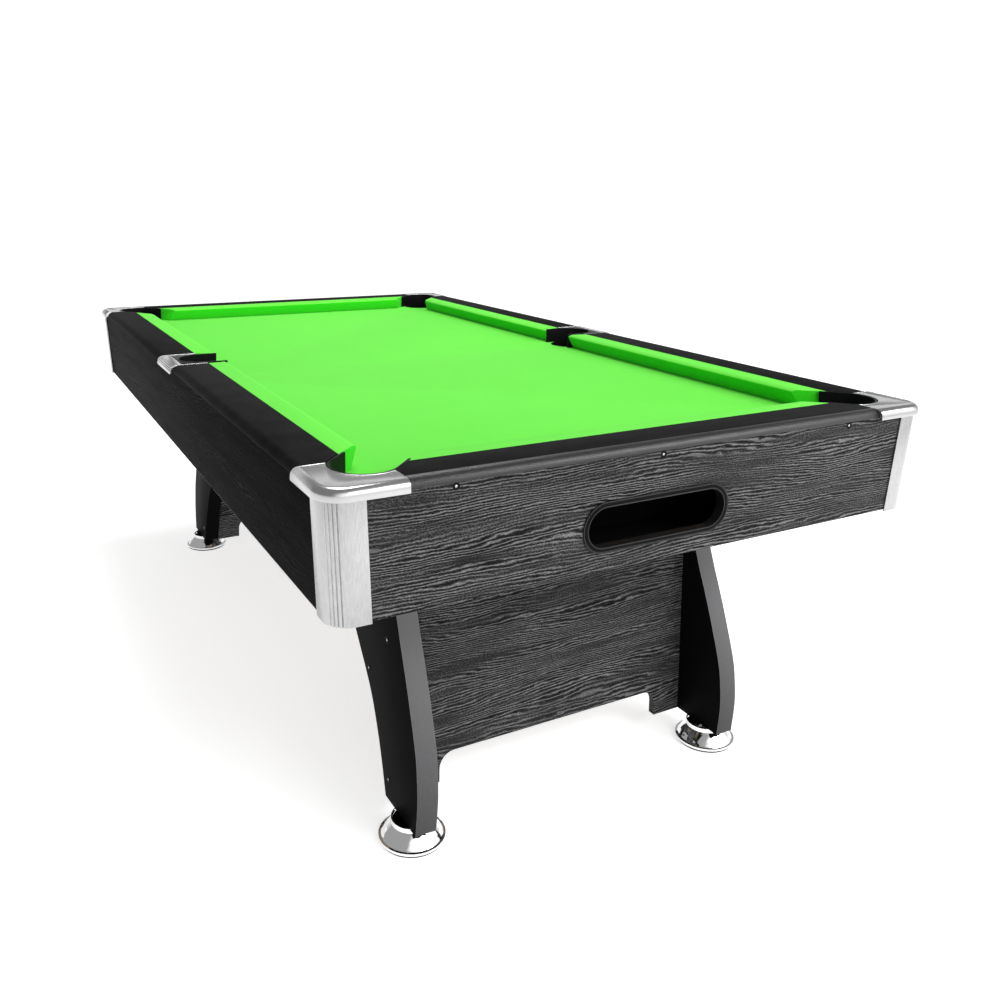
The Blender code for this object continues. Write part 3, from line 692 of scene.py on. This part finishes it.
def mouth_outline(pocket, radius, reach, steps=32):
    """A U: half a circle round the pocket's back, with straight sides towards the bed."""
    centre, angle = pocket
    points = arc(centre, radius, angle + 90, angle + 270, steps)
    step = Vector((math.cos(math.radians(angle)), math.sin(math.radians(angle)))) * reach
    ends = [tuple(Vector(points[i]) + step) for i in (0, -1)]
    return [ends[0], *points, ends[1]]


def mouth_cutter(name, extra=0.0):
    """The space that a pocket's mouth takes out of rails, cushions and caps."""
    shape = bpy.context.scene.pool_table_shape
    outline = mouth_outline(pocket_places()[name], shape.liner_radius + SNUG + extra, 0.20)
    return prism(outline, TOP - DEEP, TOP + CLEAR)


# ---------------------------------------------------------------- operators


class PieceOperator(bpy.types.Operator):
    """Builds one group of pieces; each kind of piece is a subclass with its own build."""

    bl_options = {"REGISTER", "UNDO"}

    def execute(self, context):
        self.build(context.scene.pool_table_shape)
        return {"FINISHED"}


class POOL_OT_cloth(PieceOperator):
    """Stretch the cloth over the bed and down into the pockets"""

    bl_idname = "pool_table.cloth"
    bl_label = "Bed cloth"

    def build(self, shape):
        low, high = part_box("bed_cloth")
        hem, thickness, clear = 0.012, 0.0008, 0.0006
        work = prism(rectangle(low[:2], high[:2]), high.z - hem, high.z)
        radius = shape.liner_radius + clear
        holes = []
        for centre, _ in pocket_places().values():
            ring = arc(centre, radius, 0, 360, 64)[:-1]
            holes.append(prism(ring, high.z - 2 * hem, high.z + hem))
        work = carve(work, holes)
        work.normal_update()
        hidden = []
        for face in work.faces:
            middle = face.calc_center_median()
            outer = abs(middle.x) > high.x - GAP or abs(middle.y) > high.y - GAP
            if face.normal.z < -0.5 or (outer and abs(face.normal.z) < 0.5):
                hidden.append(face)
        bmesh.ops.delete(work, geom=hidden, context="FACES")
        soften(work, 0.003, 4)
        cloth = piece("bed_cloth_sheet", work, ["speed_cloth"], ["bed_cloth"])
        solid = cloth.modifiers.new("thickness", "SOLIDIFY")
        solid.thickness = thickness
        solid.offset = -1


class POOL_OT_cushions(PieceOperator):
    """Build the six cloth-covered cushions"""

    bl_idname = "pool_table.cushions"
    bl_label = "Cushions"

    def section(self, back, sign, low, high):
        """Section of a cushion as (distance, height): flat top, rounded nose, undercut face."""
        nose = back - sign * (abs(high) - abs(low))
        floor, top = self.floor, self.top
        shoulder, shoulder_drop, nose_drop, undercut = 0.011, 0.0006, 0.0055, 0.0155
        return [
            (back, floor),
            (back, top),
            (nose + sign * shoulder, top - shoulder_drop),
            (nose, top - nose_drop),
            (nose + sign * undercut, floor),
        ]

    def build(self, shape):
        for name in [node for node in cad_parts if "_cushion_" in node]:
            low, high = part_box(name)
            self.floor, self.top = low.z, high.z
            across = name.startswith("end_")
            axis = 1 if across else 0
            sign = 1 if high[axis] > 0 else -1
            span = (low[axis], high[axis]) if sign > 0 else (high[axis], low[axis])
            outline = self.section(span[1], sign, *span)
            if across:
                work = prism(outline, low.x, high.x, STAND_ALONG)
            else:
                sy = 1 if high.y + low.y > 0 else -1
                middle = sy * 0.01
                ends = sorted((middle, high.y if sy > 0 else low.y))
                work = prism(outline, *ends, STAND_ACROSS)
            nose, front = sign * min(abs(low[axis]), abs(high[axis])), 0.012

            def near(edge):
                return all(abs(v.co[axis] - nose) < front for v in edge.verts)

            soften(work, shape.nose_rounding, 5, near, 15)
            work = carve(work, self.cutters(name, shape))
            soften(work, EASED["cushion"], 3, angle=50)
            cushion = piece(name + "_padded", work, ["speed_cloth"], [name], smooth=40)

    def cutters(self, name, shape):
        kind, _, *rest = name.split("_")
        if kind == "end":
            return [mouth_cutter(f"corner_{rest[0]}_{side}") for side in SIDES]
        end, side = rest
        line = HALF_X - shape.side_pocket_inset
        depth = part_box(name)[1].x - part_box(name)[0].x
        reach, sx = 0.1, SIDES[side]
        jaw = []
        for along, way in ((line - reach, 1), (line + reach, 1), (line + reach, -1), (line - reach, -1)):
            spread = shape.liner_radius + SNUG + shape.jaw_slope * (along - line + depth)
            jaw.append((sx * along, way * spread))
        return [mouth_cutter(f"corner_{end}_{side}"), prism(jaw, TOP - DEEP, TOP + CLEAR)]


class POOL_OT_rails(PieceOperator):
    """Build the six vinyl-wrapped rails"""

    bl_idname = "pool_table.rails"
    bl_label = "Rails"

    def build(self, shape):
        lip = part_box("end_apron_front")[1].z + GAP
        for name in [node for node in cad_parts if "_rail_" in node]:
            low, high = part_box(name)
            across = name.startswith("end_")
            axis = 1 if across else 0
            sign = 1 if high[axis] > 0 else -1
            inner, outer = sorted((low[axis], high[axis]), key=abs)
            step = outer - sign * shape.rail_step
            outline = [(outer, lip), (outer, high.z), (inner, high.z)]
            outline += [(inner, low.z), (step, low.z), (step, lip)]
            run = (low.x, high.x) if across else (low.y, high.y)
            work = prism(outline, *run, STAND_ALONG if across else STAND_ACROSS)

            def crown(edge):
                return all(abs(v.co[axis] - outer) < GAP and abs(v.co.z - high.z) < GAP for v in edge.verts)

            soften(work, shape.rail_rounding, 12, crown)
            start = abs(outer) - 0.97 * shape.rail_rounding
            for face in work.faces:
                middle = face.calc_center_median()
                tight = across and abs(middle[axis]) > start and middle.z > lip
                face.material_index = 1 if tight and len(face.verts) == 4 else 0
            ends = name.split("_")[2:]
            if across:
                pockets = [f"corner_{ends[0]}_{side}" for side in SIDES]
            else:
                pockets = ["corner_" + "_".join(ends)]
            work = carve(work, [mouth_cutter(pocket) for pocket in pockets])
            soften(work, EASED["rail"], 3, angle=55)
            piece(name + "_wrap", work, ["wrapped_vinyl", "stretched_vinyl"], [name])


class POOL_OT_corner_caps(PieceOperator):
    """Build the four silver corner caps"""

    bl_idname = "pool_table.corner_caps"
    bl_label = "Corner caps"

    def build(self, shape):
        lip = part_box("end_rail_front")[0].z + CASTING_ROOM
        for name, (sx, sy) in CORNERS.items():
            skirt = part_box("corner_cap_" + name)[0].z
            centre = (HALF_X - shape.cap_radius, HALF_Y - shape.cap_radius)
            near = (HALF_X - shape.cap_arm, HALF_Y - shape.cap_arm)
            pocket = (HALF_X - shape.corner_pocket_inset, HALF_Y - shape.corner_pocket_inset)
            outline = [(near[0], HALF_Y), (near[0], pocket[1]), (pocket[0], near[1]), (HALF_X, near[1])]
            outline += arc(centre, shape.cap_radius, 0, 90, 28)
            work = prism([(sx * x, sy * y) for x, y in outline], skirt, TOP)

            def rim(edge):
                for vert in edge.verts:
                    x, y = abs(vert.co.x), abs(vert.co.y)
                    bend = math.hypot(x - centre[0], y - centre[1]) > shape.cap_radius - GAP
                    round_it = x > centre[0] and y > centre[1] and bend
                    if abs(vert.co.z - TOP) > GAP or not (x > HALF_X - GAP or y > HALF_Y - GAP or round_it):
                        return False
                return True

            soften(work, shape.cap_rounding, 10, rim)
            start = (near[0] - shape.cap_arm, near[1] - shape.cap_arm)
            inner = [start, (HALF_X - shape.cap_wall, start[1])]
            inner += arc(centre, shape.cap_radius - shape.cap_wall, 0, 90, 28)
            inner += [(start[0], HALF_Y - shape.cap_wall)]
            hollow = prism([(sx * x, sy * y) for x, y in inner], skirt - CLEAR, lip)
            line = shape.cap_rounding + shape.cap_border
            flat = [(near[0] + shape.cap_border, HALF_Y - line), (near[0] + shape.cap_border, pocket[1])]
            flat += [(pocket[0], near[1] + shape.cap_border), (HALF_X - line, near[1] + shape.cap_border)]
            flat += arc(centre, shape.cap_radius - line, 0, 90, 28)
            edge = mouth_cutter("corner_" + name, shape.cap_border)
            depth = 0.0006
            sunk = carve(prism([(sx * x, sy * y) for x, y in flat], TOP - depth, TOP + 0.5 * CLEAR), [edge])
            work = carve(work, [hollow, mouth_cutter("corner_" + name), sunk])
            soften(work, EASED["cap"], 2, angle=50)
            node = "corner_cap_" + name
            piece(node + "_cast", work, ["satin_silver"], [node])


class POOL_OT_side_castings(PieceOperator):
    """Build the two ribbed side-pocket castings"""

    bl_idname = "pool_table.side_castings"
    bl_label = "Side castings"

    def build(self, shape):
        for side, sx in SIDES.items():
            node = "side_casting_" + side
            low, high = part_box(node)
            inner = min(abs(low.x), abs(high.x))
            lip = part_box("side_rail_front_left")[0].z + CASTING_ROOM
            radius = shape.cap_rounding
            centre = (HALF_X - radius, TOP - radius)
            skin = [(HALF_X, low.z), (HALF_X, centre[1])]
            steps, ribs = 64, 4
            for i in range(1, steps):
                part = i / steps
                dip = shape.rib_depth * (0.5 - 0.5 * math.cos(2 * math.pi * ribs * part))
                angle = math.radians(90 * part)
                spot = Vector(centre) + (radius - dip) * Vector((math.cos(angle), math.sin(angle)))
                skin.append(tuple(spot))
            skin += [(centre[0], TOP), (inner, TOP), (inner, lip)]
            skin += [(HALF_X - shape.cap_wall, lip), (HALF_X - shape.cap_wall, low.z)]
            work = prism([(sx * x, z) for x, z in skin], low.y, high.y, STAND_ACROSS)
            half = high.y - shape.casting_arm
            mouth = sorted((sx * (inner - CLEAR), sx * (HALF_X - shape.casting_back)))
            cutter = prism(rectangle((mouth[0], -half), (mouth[1], half)), low.z - CLEAR, TOP + CLEAR)
            work = carve(work, [cutter])
            soften(work, EASED["casting"], 3, angle=60)
            piece(node + "_cast", work, ["satin_silver"], [node])


class POOL_OT_pocket_liners(PieceOperator):
    """Build the six black pocket liners"""

    bl_idname = "pool_table.pocket_liners"
    bl_label = "Pocket liners"

    def build(self, shape):
        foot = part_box("bed_cloth")[1].z + GAP
        for name, pocket in pocket_places().items():
            node = "pocket_liner_" + name
            low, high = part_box(node)
            centre, angle = pocket
            radius, wall = shape.liner_radius, shape.liner_wall
            chute_gap, back_gap, overlap = 0.0004, 0.0014, 0.004
            work = prism(mouth_outline(pocket, radius, shape.liner_ear), foot, high.z)
            joined = []
            if name.startswith("side_"):
                joined.append(self.flange(centre, high.z, shape))
            chute = arc(centre, radius - chute_gap, 2, 362, 64)[:-1]
            joined.append(prism(chute, low.z, foot - 2 * GAP))
            back = arc(centre, radius - back_gap, angle + 92, angle + 268, 32)
            joined.append(prism(back, foot - wall, foot + wall))
            work = carve(work, joined, "UNION")
            inside = mouth_outline(pocket, radius - wall, 2 * shape.liner_ear)
            bore = arc(centre, radius - wall - GAP, 3, 363, 64)[:-1]
            cutters = [prism(inside, foot - GAP, TOP + 2 * CLEAR)]
            cutters.append(prism(bore, low.z - CLEAR, foot + overlap))
            work = carve(work, cutters)

            def rim(edge):
                return all(abs(v.co.z - high.z) < GAP for v in edge.verts)

            soften(work, shape.liner_rim, 4, rim, 60)
            piece(node + "_moulded", work, ["dull_plastic"], [node])

    def flange(self, centre, top, shape):
        """The flat shelf of a side liner that fills the space between the casting's arms."""
        sx = math.copysign(1, centre[0])
        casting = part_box("side_casting_right")
        outer = HALF_X - shape.casting_back - GAP
        half = casting[1].y - shape.casting_arm - GAP
        inner = casting[0].x + GAP
        ends = sorted((sx * inner, sx * outer))
        thickness = 0.004
        return prism(rectangle((ends[0], -half), (ends[1], half)), top - thickness, top - GAP)


class POOL_OT_aprons(PieceOperator):
    """Build the four leaning aprons"""

    bl_idname = "pool_table.aprons"
    bl_label = "Aprons"

    def build(self, shape):
        for node in [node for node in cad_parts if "_apron_" in node]:
            # The side aprons get the darker copy of the grained laminate: painted shade
            grain = "end_board_grain" if node.startswith("end_") else "side_board_grain"
            work = board_copy(node)
            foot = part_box(node)[0].z + 2 * shape.board_edge
            # Painted highlight: the narrow faces along each apron's lower edge take the paler edge finish
            for face in eased_edge_faces(work):
                face.material_index = 1 if face.calc_center_median().z < foot else 0
            piece(node + "_board", work, [grain, "trimmed_edge"], [node])


class POOL_OT_ball_return_ring(PieceOperator):
    """Build the moulded ring round the ball return opening"""

    bl_idname = "pool_table.ball_return_ring"
    bl_label = "Ball return ring"

    def stadium(self, inset):
        radius = self.radius - inset
        right = arc((self.centre.x + self.reach, self.centre.z), radius, -90, 90, 32)
        return right + arc((self.centre.x - self.reach, self.centre.z), radius, 90, 270, 32)

    def build(self, shape):
        low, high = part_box("ball_return_bezel")
        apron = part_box("end_apron_front")
        self.centre = (low + high) / 2
        self.radius = (high.z - low.z) / 2
        self.reach = (high.x - low.x) / 2 - self.radius
        face, lip = apron[0].y, shape.bezel_lip
        proud, rim, sleeve, reach = 0.003, 0.0095, 0.0056, 0.015
        groove, slope = 0.0018, 0.0006
        ring = band_prism(self.stadium(0), self.stadium(rim), face - proud, face - GAP, STAND_ACROSS)
        ring.normal_update()
        front = [item for item in ring.faces if item.normal.y < -0.9]
        bmesh.ops.inset_region(ring, faces=front, thickness=lip, depth=0)
        bmesh.ops.inset_region(ring, faces=front, thickness=slope, depth=-groove)
        for item in front:
            item.material_index = 1
        soften(ring, EASED["ring"], 3, angle=50)
        inner, outer = self.stadium(sleeve), self.stadium(rim)
        tube = band_prism(inner, outer, face - GAP / 2, face + reach, STAND_ACROSS)
        work = lean(gather([ring, tube]), 0, -1, apron[1].z)
        finishes = ["glossy_plastic", "dull_plastic"]
        piece("ball_return_ring", work, finishes, ["ball_return_bezel"])


class POOL_OT_corner_posts(PieceOperator):
    """Build the four fluted corner posts"""

    bl_idname = "pool_table.corner_posts"
    bl_label = "Corner posts"

    def fluted(self, centre, radius, depth):
        """The post's outer bend, with flutes across its middle third."""
        points = []
        steps, flutes, start, end = 180, 4, 26, 64
        for i in range(steps + 1):
            angle = 90 * i / steps
            part = min(max((angle - start) / (end - start), 0), 1)
            dip = depth * (0.5 - 0.5 * math.cos(2 * math.pi * flutes * part)) ** 5
            points += arc(centre, radius - dip, angle, angle, 1)[:1]
        return points

    def build(self, shape):
        for name, (sx, sy) in CORNERS.items():
            node = "corner_post_" + name
            low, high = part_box(node)
            outer = (max(abs(low.x), abs(high.x)), max(abs(low.y), abs(high.y)))
            centre = (outer[0] - shape.post_radius, outer[1] - shape.post_radius)
            thin = shape.post_wall - GAP
            outline = [(outer[0], outer[1] - shape.post_arm)]
            outline += self.fluted(centre, shape.post_radius, shape.flute_depth)
            outline += [(outer[0] - shape.post_arm, outer[1]), (outer[0] - shape.post_arm, outer[1] - thin)]
            outline += arc(centre, shape.post_radius - thin, 90, 0, 32)
            outline += [(outer[0] - thin, outer[1] - shape.post_arm)]
            work = prism([(sx * x, sy * y) for x, y in outline], low.z, high.z)
            soften(work, EASED["post"], 2, angle=60)
            lean(work, sx, sy, high.z)
            piece(node + "_drawn", work, ["drawn_silver"], [node])


class POOL_OT_legs(PieceOperator):
    """Build the four bowed legs with their grey edging, and the two end panels"""

    bl_idname = "pool_table.legs"
    bl_label = "Legs and panels"

    def build(self, shape):
        for name, (_, sy) in CORNERS.items():
            node = "leg_" + name
            work = board_copy(node)
            work.normal_update()
            # Only strips facing outward along Y get the grey edging; the inward-facing strips stay plain
            # black, painted shade copied from the back legs' shaded inner strips
            for face in work.faces:
                face.material_index = 1 if face.normal.y * sy > 0.4 else 0
            # Painted highlight: the narrow faces along the outward strips' edges take the paler edge finish
            for face in eased_edge_faces(work):
                face.material_index = 2 if face.normal.y * sy > 0.4 else 0
            finishes = ["plain_laminate", "edging_strip", "trimmed_edge"]
            piece(node + "_board", work, finishes, [node])
        for name in ENDS:
            node = "leg_panel_" + name
            piece(node + "_board", board_copy(node), ["end_board_grain"], [node])


class POOL_OT_feet(PieceOperator):
    """Build the four levelling feet: chrome bell, threaded stud and pad"""

    bl_idname = "pool_table.feet"
    bl_label = "Levelling feet"

    def build(self, shape):
        for name in CORNERS:
            low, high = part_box("foot_dome_" + name)
            centre = ((low.x + high.x) / 2, (low.y + high.y) / 2)
            rim = (high.x - low.x) / 2
            body = "foot_" + name
            bell = soften(turned(self.bell(rim, low.z, high.z), 72, centre), EASED["bell"], 2, angle=50)
            piece(f"foot_bell_{name}", bell, ["bright_chrome"], [f"foot_dome_{name}"], body)
            low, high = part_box("foot_stud_" + name)
            stud = turned(self.stud(low.z, high.z, shape), 32, centre)
            piece(f"foot_thread_{name}", stud, ["zinc_steel"], [f"foot_stud_{name}"], body)
            low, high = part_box("foot_pad_" + name)
            pad = turned(self.pad((high.x - low.x) / 2, high.z), 72, centre)
            soften(pad, EASED["pad"], 2, angle=50)
            body = "pad_" + name
            piece(f"foot_disc_{name}", pad, ["dull_plastic"], [f"foot_pad_{name}"], body)

    def bell(self, rim, foot, top):
        """Closed shell of the bell: collar round a recess, gently crowned side, flat rim."""
        collar, wall, recess, neck, ledge = 0.038, 0.0022, 0.0065, 0.0085, 0.0045
        inner_rim, bore, fillet, crown = rim - ledge, 0.0055, 0.0008, 0.0012
        points = [(bore, top - recess), (collar - wall, top - recess), (collar - wall, top), (collar, top)]
        points.append((collar, top - neck))
        shelf = foot + ledge
        steps = 8
        for i in range(steps + 1):
            part = i / steps
            radius = collar + fillet + part * (inner_rim - collar - fillet)
            height = top - neck - fillet + part * (shelf - top + neck + fillet)
            points.append((radius, height + crown * math.sin(math.pi * part)))
        points += [(rim, shelf), (rim, foot), (rim - wall, foot), (rim - wall, shelf - wall)]
        points += [(inner_rim - wall, shelf - wall), (collar - wall, top - neck - wall)]
        return points + [(collar - 2 * wall, top - recess - wall), (bore, top - recess - wall)]

    def stud(self, foot, top, shape):
        """Threaded rod: one ridge for each pitch, over a plain flat head."""
        radius, head, depth, chamfer = 0.005, 0.009, 0.0007, 0.0012
        pitch, head_top, last_thread = shape.thread_pitch, foot + 0.006, foot + 0.008
        points = [(0, top), (radius - chamfer, top)]
        level = top - 0.8 * pitch
        while level > last_thread:
            points += [(radius, level), (radius - depth, level - pitch / 2)]
            level -= pitch
        return points + [(radius - depth, head_top), (head, head_top), (head, foot), (0, foot)]

    def pad(self, radius, hub):
        """Flat disc with a low ring that holds the stud's head."""
        floor, inner, outer = 0.004, 0.0095, 0.014
        points = [(0, floor), (inner, floor), (inner, hub), (outer, hub), (outer, floor)]
        return points + [(radius, floor), (radius, 0), (0, 0)]


class POOL_OT_screws(PieceOperator):
    """Build the panel screws in the aprons, the legs and the tray"""

    bl_idname = "pool_table.screws"
    bl_label = "Panel screws"

    def screw(self, place, facing, head):
        """A recessed cross-head screw in a dark cup, facing the given way."""
        top, shoulder, rim, under = 0.0010, 0.0009, 0.0004, -0.0006
        cap = turned([(0, top), (0.5 * head, shoulder), (0.9 * head, rim), (head, under), (0, under)], 24)
        slots = []
        for wide, deep in ((0.55 * head, 0.16 * head), (0.16 * head, 0.55 * head)):
            slots.append(prism(rectangle((-wide, -deep), (wide, deep)), 0.1 * top, 2 * top))
        cap = carve(cap, [carve(slots[0], [slots[1]], "UNION")])
        outer, inner = 2.7 * head, 1.04 * head
        cup = turned([(inner, 0.3 * top), (outer, 0.7 * top), (outer, under), (inner, under)], 24)
        for face in cup.faces:
            face.material_index = 1
        work = gather([cap, cup])
        turn = Vector(facing).to_track_quat("Z", "Y").to_matrix().to_4x4()
        bmesh.ops.transform(work, matrix=Matrix.Translation(place) @ turn, verts=work.verts)
        return work

    def group(self, name, places, facing, head):
        """One piece that holds a screw at each place, all facing the same way."""
        screws = [self.screw(place, facing, head) for place in places]
        piece(name, gather(screws), ["zinc_steel", "dull_plastic"])

    def build(self, shape):
        head = shape.screw_head
        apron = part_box("end_apron_front")
        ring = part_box("ball_return_bezel")
        level = apron[1].z - APRON_SCREW_DROP
        face = -apron[0].y - shape.apron_lean * APRON_SCREW_DROP
        for name, sy in ENDS.items():
            middle = (ring[0].x + ring[1].x) / 2 if name == "front" else 0
            places = [(x, sy * face, level) for x in (-APRON_SCREW_SPREAD, middle, APRON_SCREW_SPREAD)]
            way = Vector((0, sy, -shape.apron_lean)).normalized()
            self.group("apron_screws_" + name, places, way, head)
        for name, (sx, sy) in CORNERS.items():
            low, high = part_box("leg_" + name)
            outer = high.x if sx > 0 else low.x
            places = [(outer, sy * y, z) for y, z in LEG_SCREWS]
            self.group("leg_screws_" + name, places, (sx, 0, 0), head)
        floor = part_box("ball_return_tray")[0].z + TRAY_FLOOR
        self.group("tray_screws", [(x, y, floor) for x, y in TRAY_SCREWS], (0, 0, 1), head)


class POOL_OT_inner_works(PieceOperator):
    """Finish the bed board, the beams, the tray and the gutters"""

    bl_idname = "pool_table.inner_works"
    bl_label = "Inner works"

    def build(self, shape):
        for node in ("bed_board", "cross_beam_front", "cross_beam_back", "spine_beam"):
            refinish(node, "raw_board")
        for node in ("ball_return_tray", "ball_gutter_left", "ball_gutter_right"):
            refinish(node, "dull_plastic")


class POOL_OT_stage(bpy.types.Operator):
    """Set the floor, the lamps and the camera"""

    bl_idname = "pool_table.stage"
    bl_label = "Stage"
    bl_options = {"REGISTER", "UNDO"}

    def execute(self, context):
        stage = context.scene.pool_table_stage
        self.floor(stage)
        self.room(context.scene, stage)
        near_end, middle = (0, -0.9, 0.7), (0, 0.5, 0.7)
        self.lamp("front_lamp", (1.7, -3.4, 2.7), near_end, (3.4, 0.7), stage.key)
        self.lamp("top_lamp", (0.2, 0.9, 4.0), middle, (1.6, 1.6), stage.top)
        self.camera(context.scene, stage)
        context.scene.view_settings.view_transform = "Standard"
        return {"FINISHED"}

    def floor(self, stage):
        work = bmesh.new()
        bmesh.ops.create_circle(work, cap_ends=True, radius=40, segments=96)
        mesh = bpy.data.meshes.new("floor")
        work.to_mesh(mesh)
        work.free()
        constants = {"Roughness": 0.9, "Specular IOR Level": 0.05, "Emission Color": (1, 1, 1, 1)}
        made = Finish("pale_floor", constants | {"Emission Strength": stage.floor_glow})
        haze = made.noise(0.8, 3.0)
        made.feed("Base Color", made.mix(haze, dimmed(stage.floor, 0.99), tuple(stage.floor)))
        mesh.materials.append(made.material)
        item = bpy.data.objects.new("floor", mesh)
        bpy.context.scene.collection.objects.link(item)

    def room(self, scene, stage):
        """Pale walls behind the table and facing its end, in a dimmer room with a dim ceiling."""
        world = bpy.data.worlds.new("studio")
        world.use_nodes = True
        graph = Graph(world.node_tree, "Generated")
        x = graph.node("ShaderNodeSeparateXYZ", None, {0: graph.place})
        behind = graph.band(0.5 * x + 0.866 * x.other(1), 0.45, 0.86)
        low = graph.band(x.other(2), 0.30, 0.19)
        ahead = graph.band(0.4 * x - 0.917 * x.other(1), 0.30, 0.75) * graph.band(x.other(2), 0.85, 0.60)
        strength = stage.room + (stage.wall - stage.room) * behind * low + stage.glow * ahead
        light = world.node_tree.nodes["Background"]
        light.inputs["Color"].default_value = (1, 1, 1, 1)
        world.node_tree.links.new(strength.socket, light.inputs["Strength"])
        scene.world = world

    def lamp(self, name, place, target, size, power):
        data = bpy.data.lights.new(name, "AREA")
        data.shape = "RECTANGLE"
        data.size, data.size_y = size
        data.energy = power
        item = bpy.data.objects.new(name, data)
        item.location = place
        way = Vector(target) - Vector(place)
        item.rotation_euler = way.to_track_quat("-Z", "Y").to_euler()
        bpy.context.scene.collection.objects.link(item)

    def camera(self, scene, stage):
        data = bpy.data.cameras.new("camera")
        data.sensor_width = 36
        data.lens = stage.lens
        data.shift_x, data.shift_y = stage.shift
        ahead = Vector((
            math.sin(stage.azimuth) * math.cos(stage.dip),
            math.cos(stage.azimuth) * math.cos(stage.dip),
            -math.sin(stage.dip),
        ))
        right = Vector((math.cos(stage.azimuth), -math.sin(stage.azimuth), 0))
        level = Matrix((right, right.cross(ahead), -ahead)).transposed()
        item = bpy.data.objects.new("camera", data)
        tilt = Matrix.Rotation(stage.roll, 4, "Z")
        item.matrix_world = Matrix.Translation(stage.eye) @ level.to_4x4() @ tilt
        scene.collection.objects.link(item)
        scene.camera = item


STEPS = (
    POOL_OT_cloth,
    POOL_OT_cushions,
    POOL_OT_rails,
    POOL_OT_corner_caps,
    POOL_OT_side_castings,
    POOL_OT_pocket_liners,
    POOL_OT_aprons,
    POOL_OT_ball_return_ring,
    POOL_OT_corner_posts,
    POOL_OT_legs,
    POOL_OT_feet,
    POOL_OT_screws,
    POOL_OT_inner_works,
    POOL_OT_stage,
)


class POOL_PT_panel(bpy.types.Panel):
    """Lists the pool table's tools and its settings"""

    bl_idname = "POOL_PT_panel"
    bl_label = "Pool Table"
    bl_space_type = "VIEW_3D"
    bl_region_type = "UI"
    bl_category = "Pool Table"

    def draw(self, context):
        for step in STEPS:
            self.layout.operator(step.bl_idname)
        for group in ("shape", "colours", "stage"):
            settings = getattr(context.scene, "pool_table_" + group)
            box = self.layout.box()
            for name in settings.bl_rna.properties.keys():
                if name not in ("rna_type", "name"):
                    box.prop(settings, name)


GROUPS = {
    "pool_table_shape": TableShape,
    "pool_table_colours": TableColours,
    "pool_table_stage": TableStage,
}


def register():
    for item in (*GROUPS.values(), *STEPS, POOL_PT_panel):
        bpy.utils.register_class(item)
    for name, group in GROUPS.items():
        setattr(bpy.types.Scene, name, bpy.props.PointerProperty(type=group))


def unregister():
    for name in GROUPS:
        delattr(bpy.types.Scene, name)
    for item in reversed((*GROUPS.values(), *STEPS, POOL_PT_panel)):
        bpy.utils.unregister_class(item)


def main():
    register()
    for step in STEPS:
        getattr(bpy.ops.pool_table, step.bl_idname.split(".")[1])()


if __name__ == "__main__":
    main()
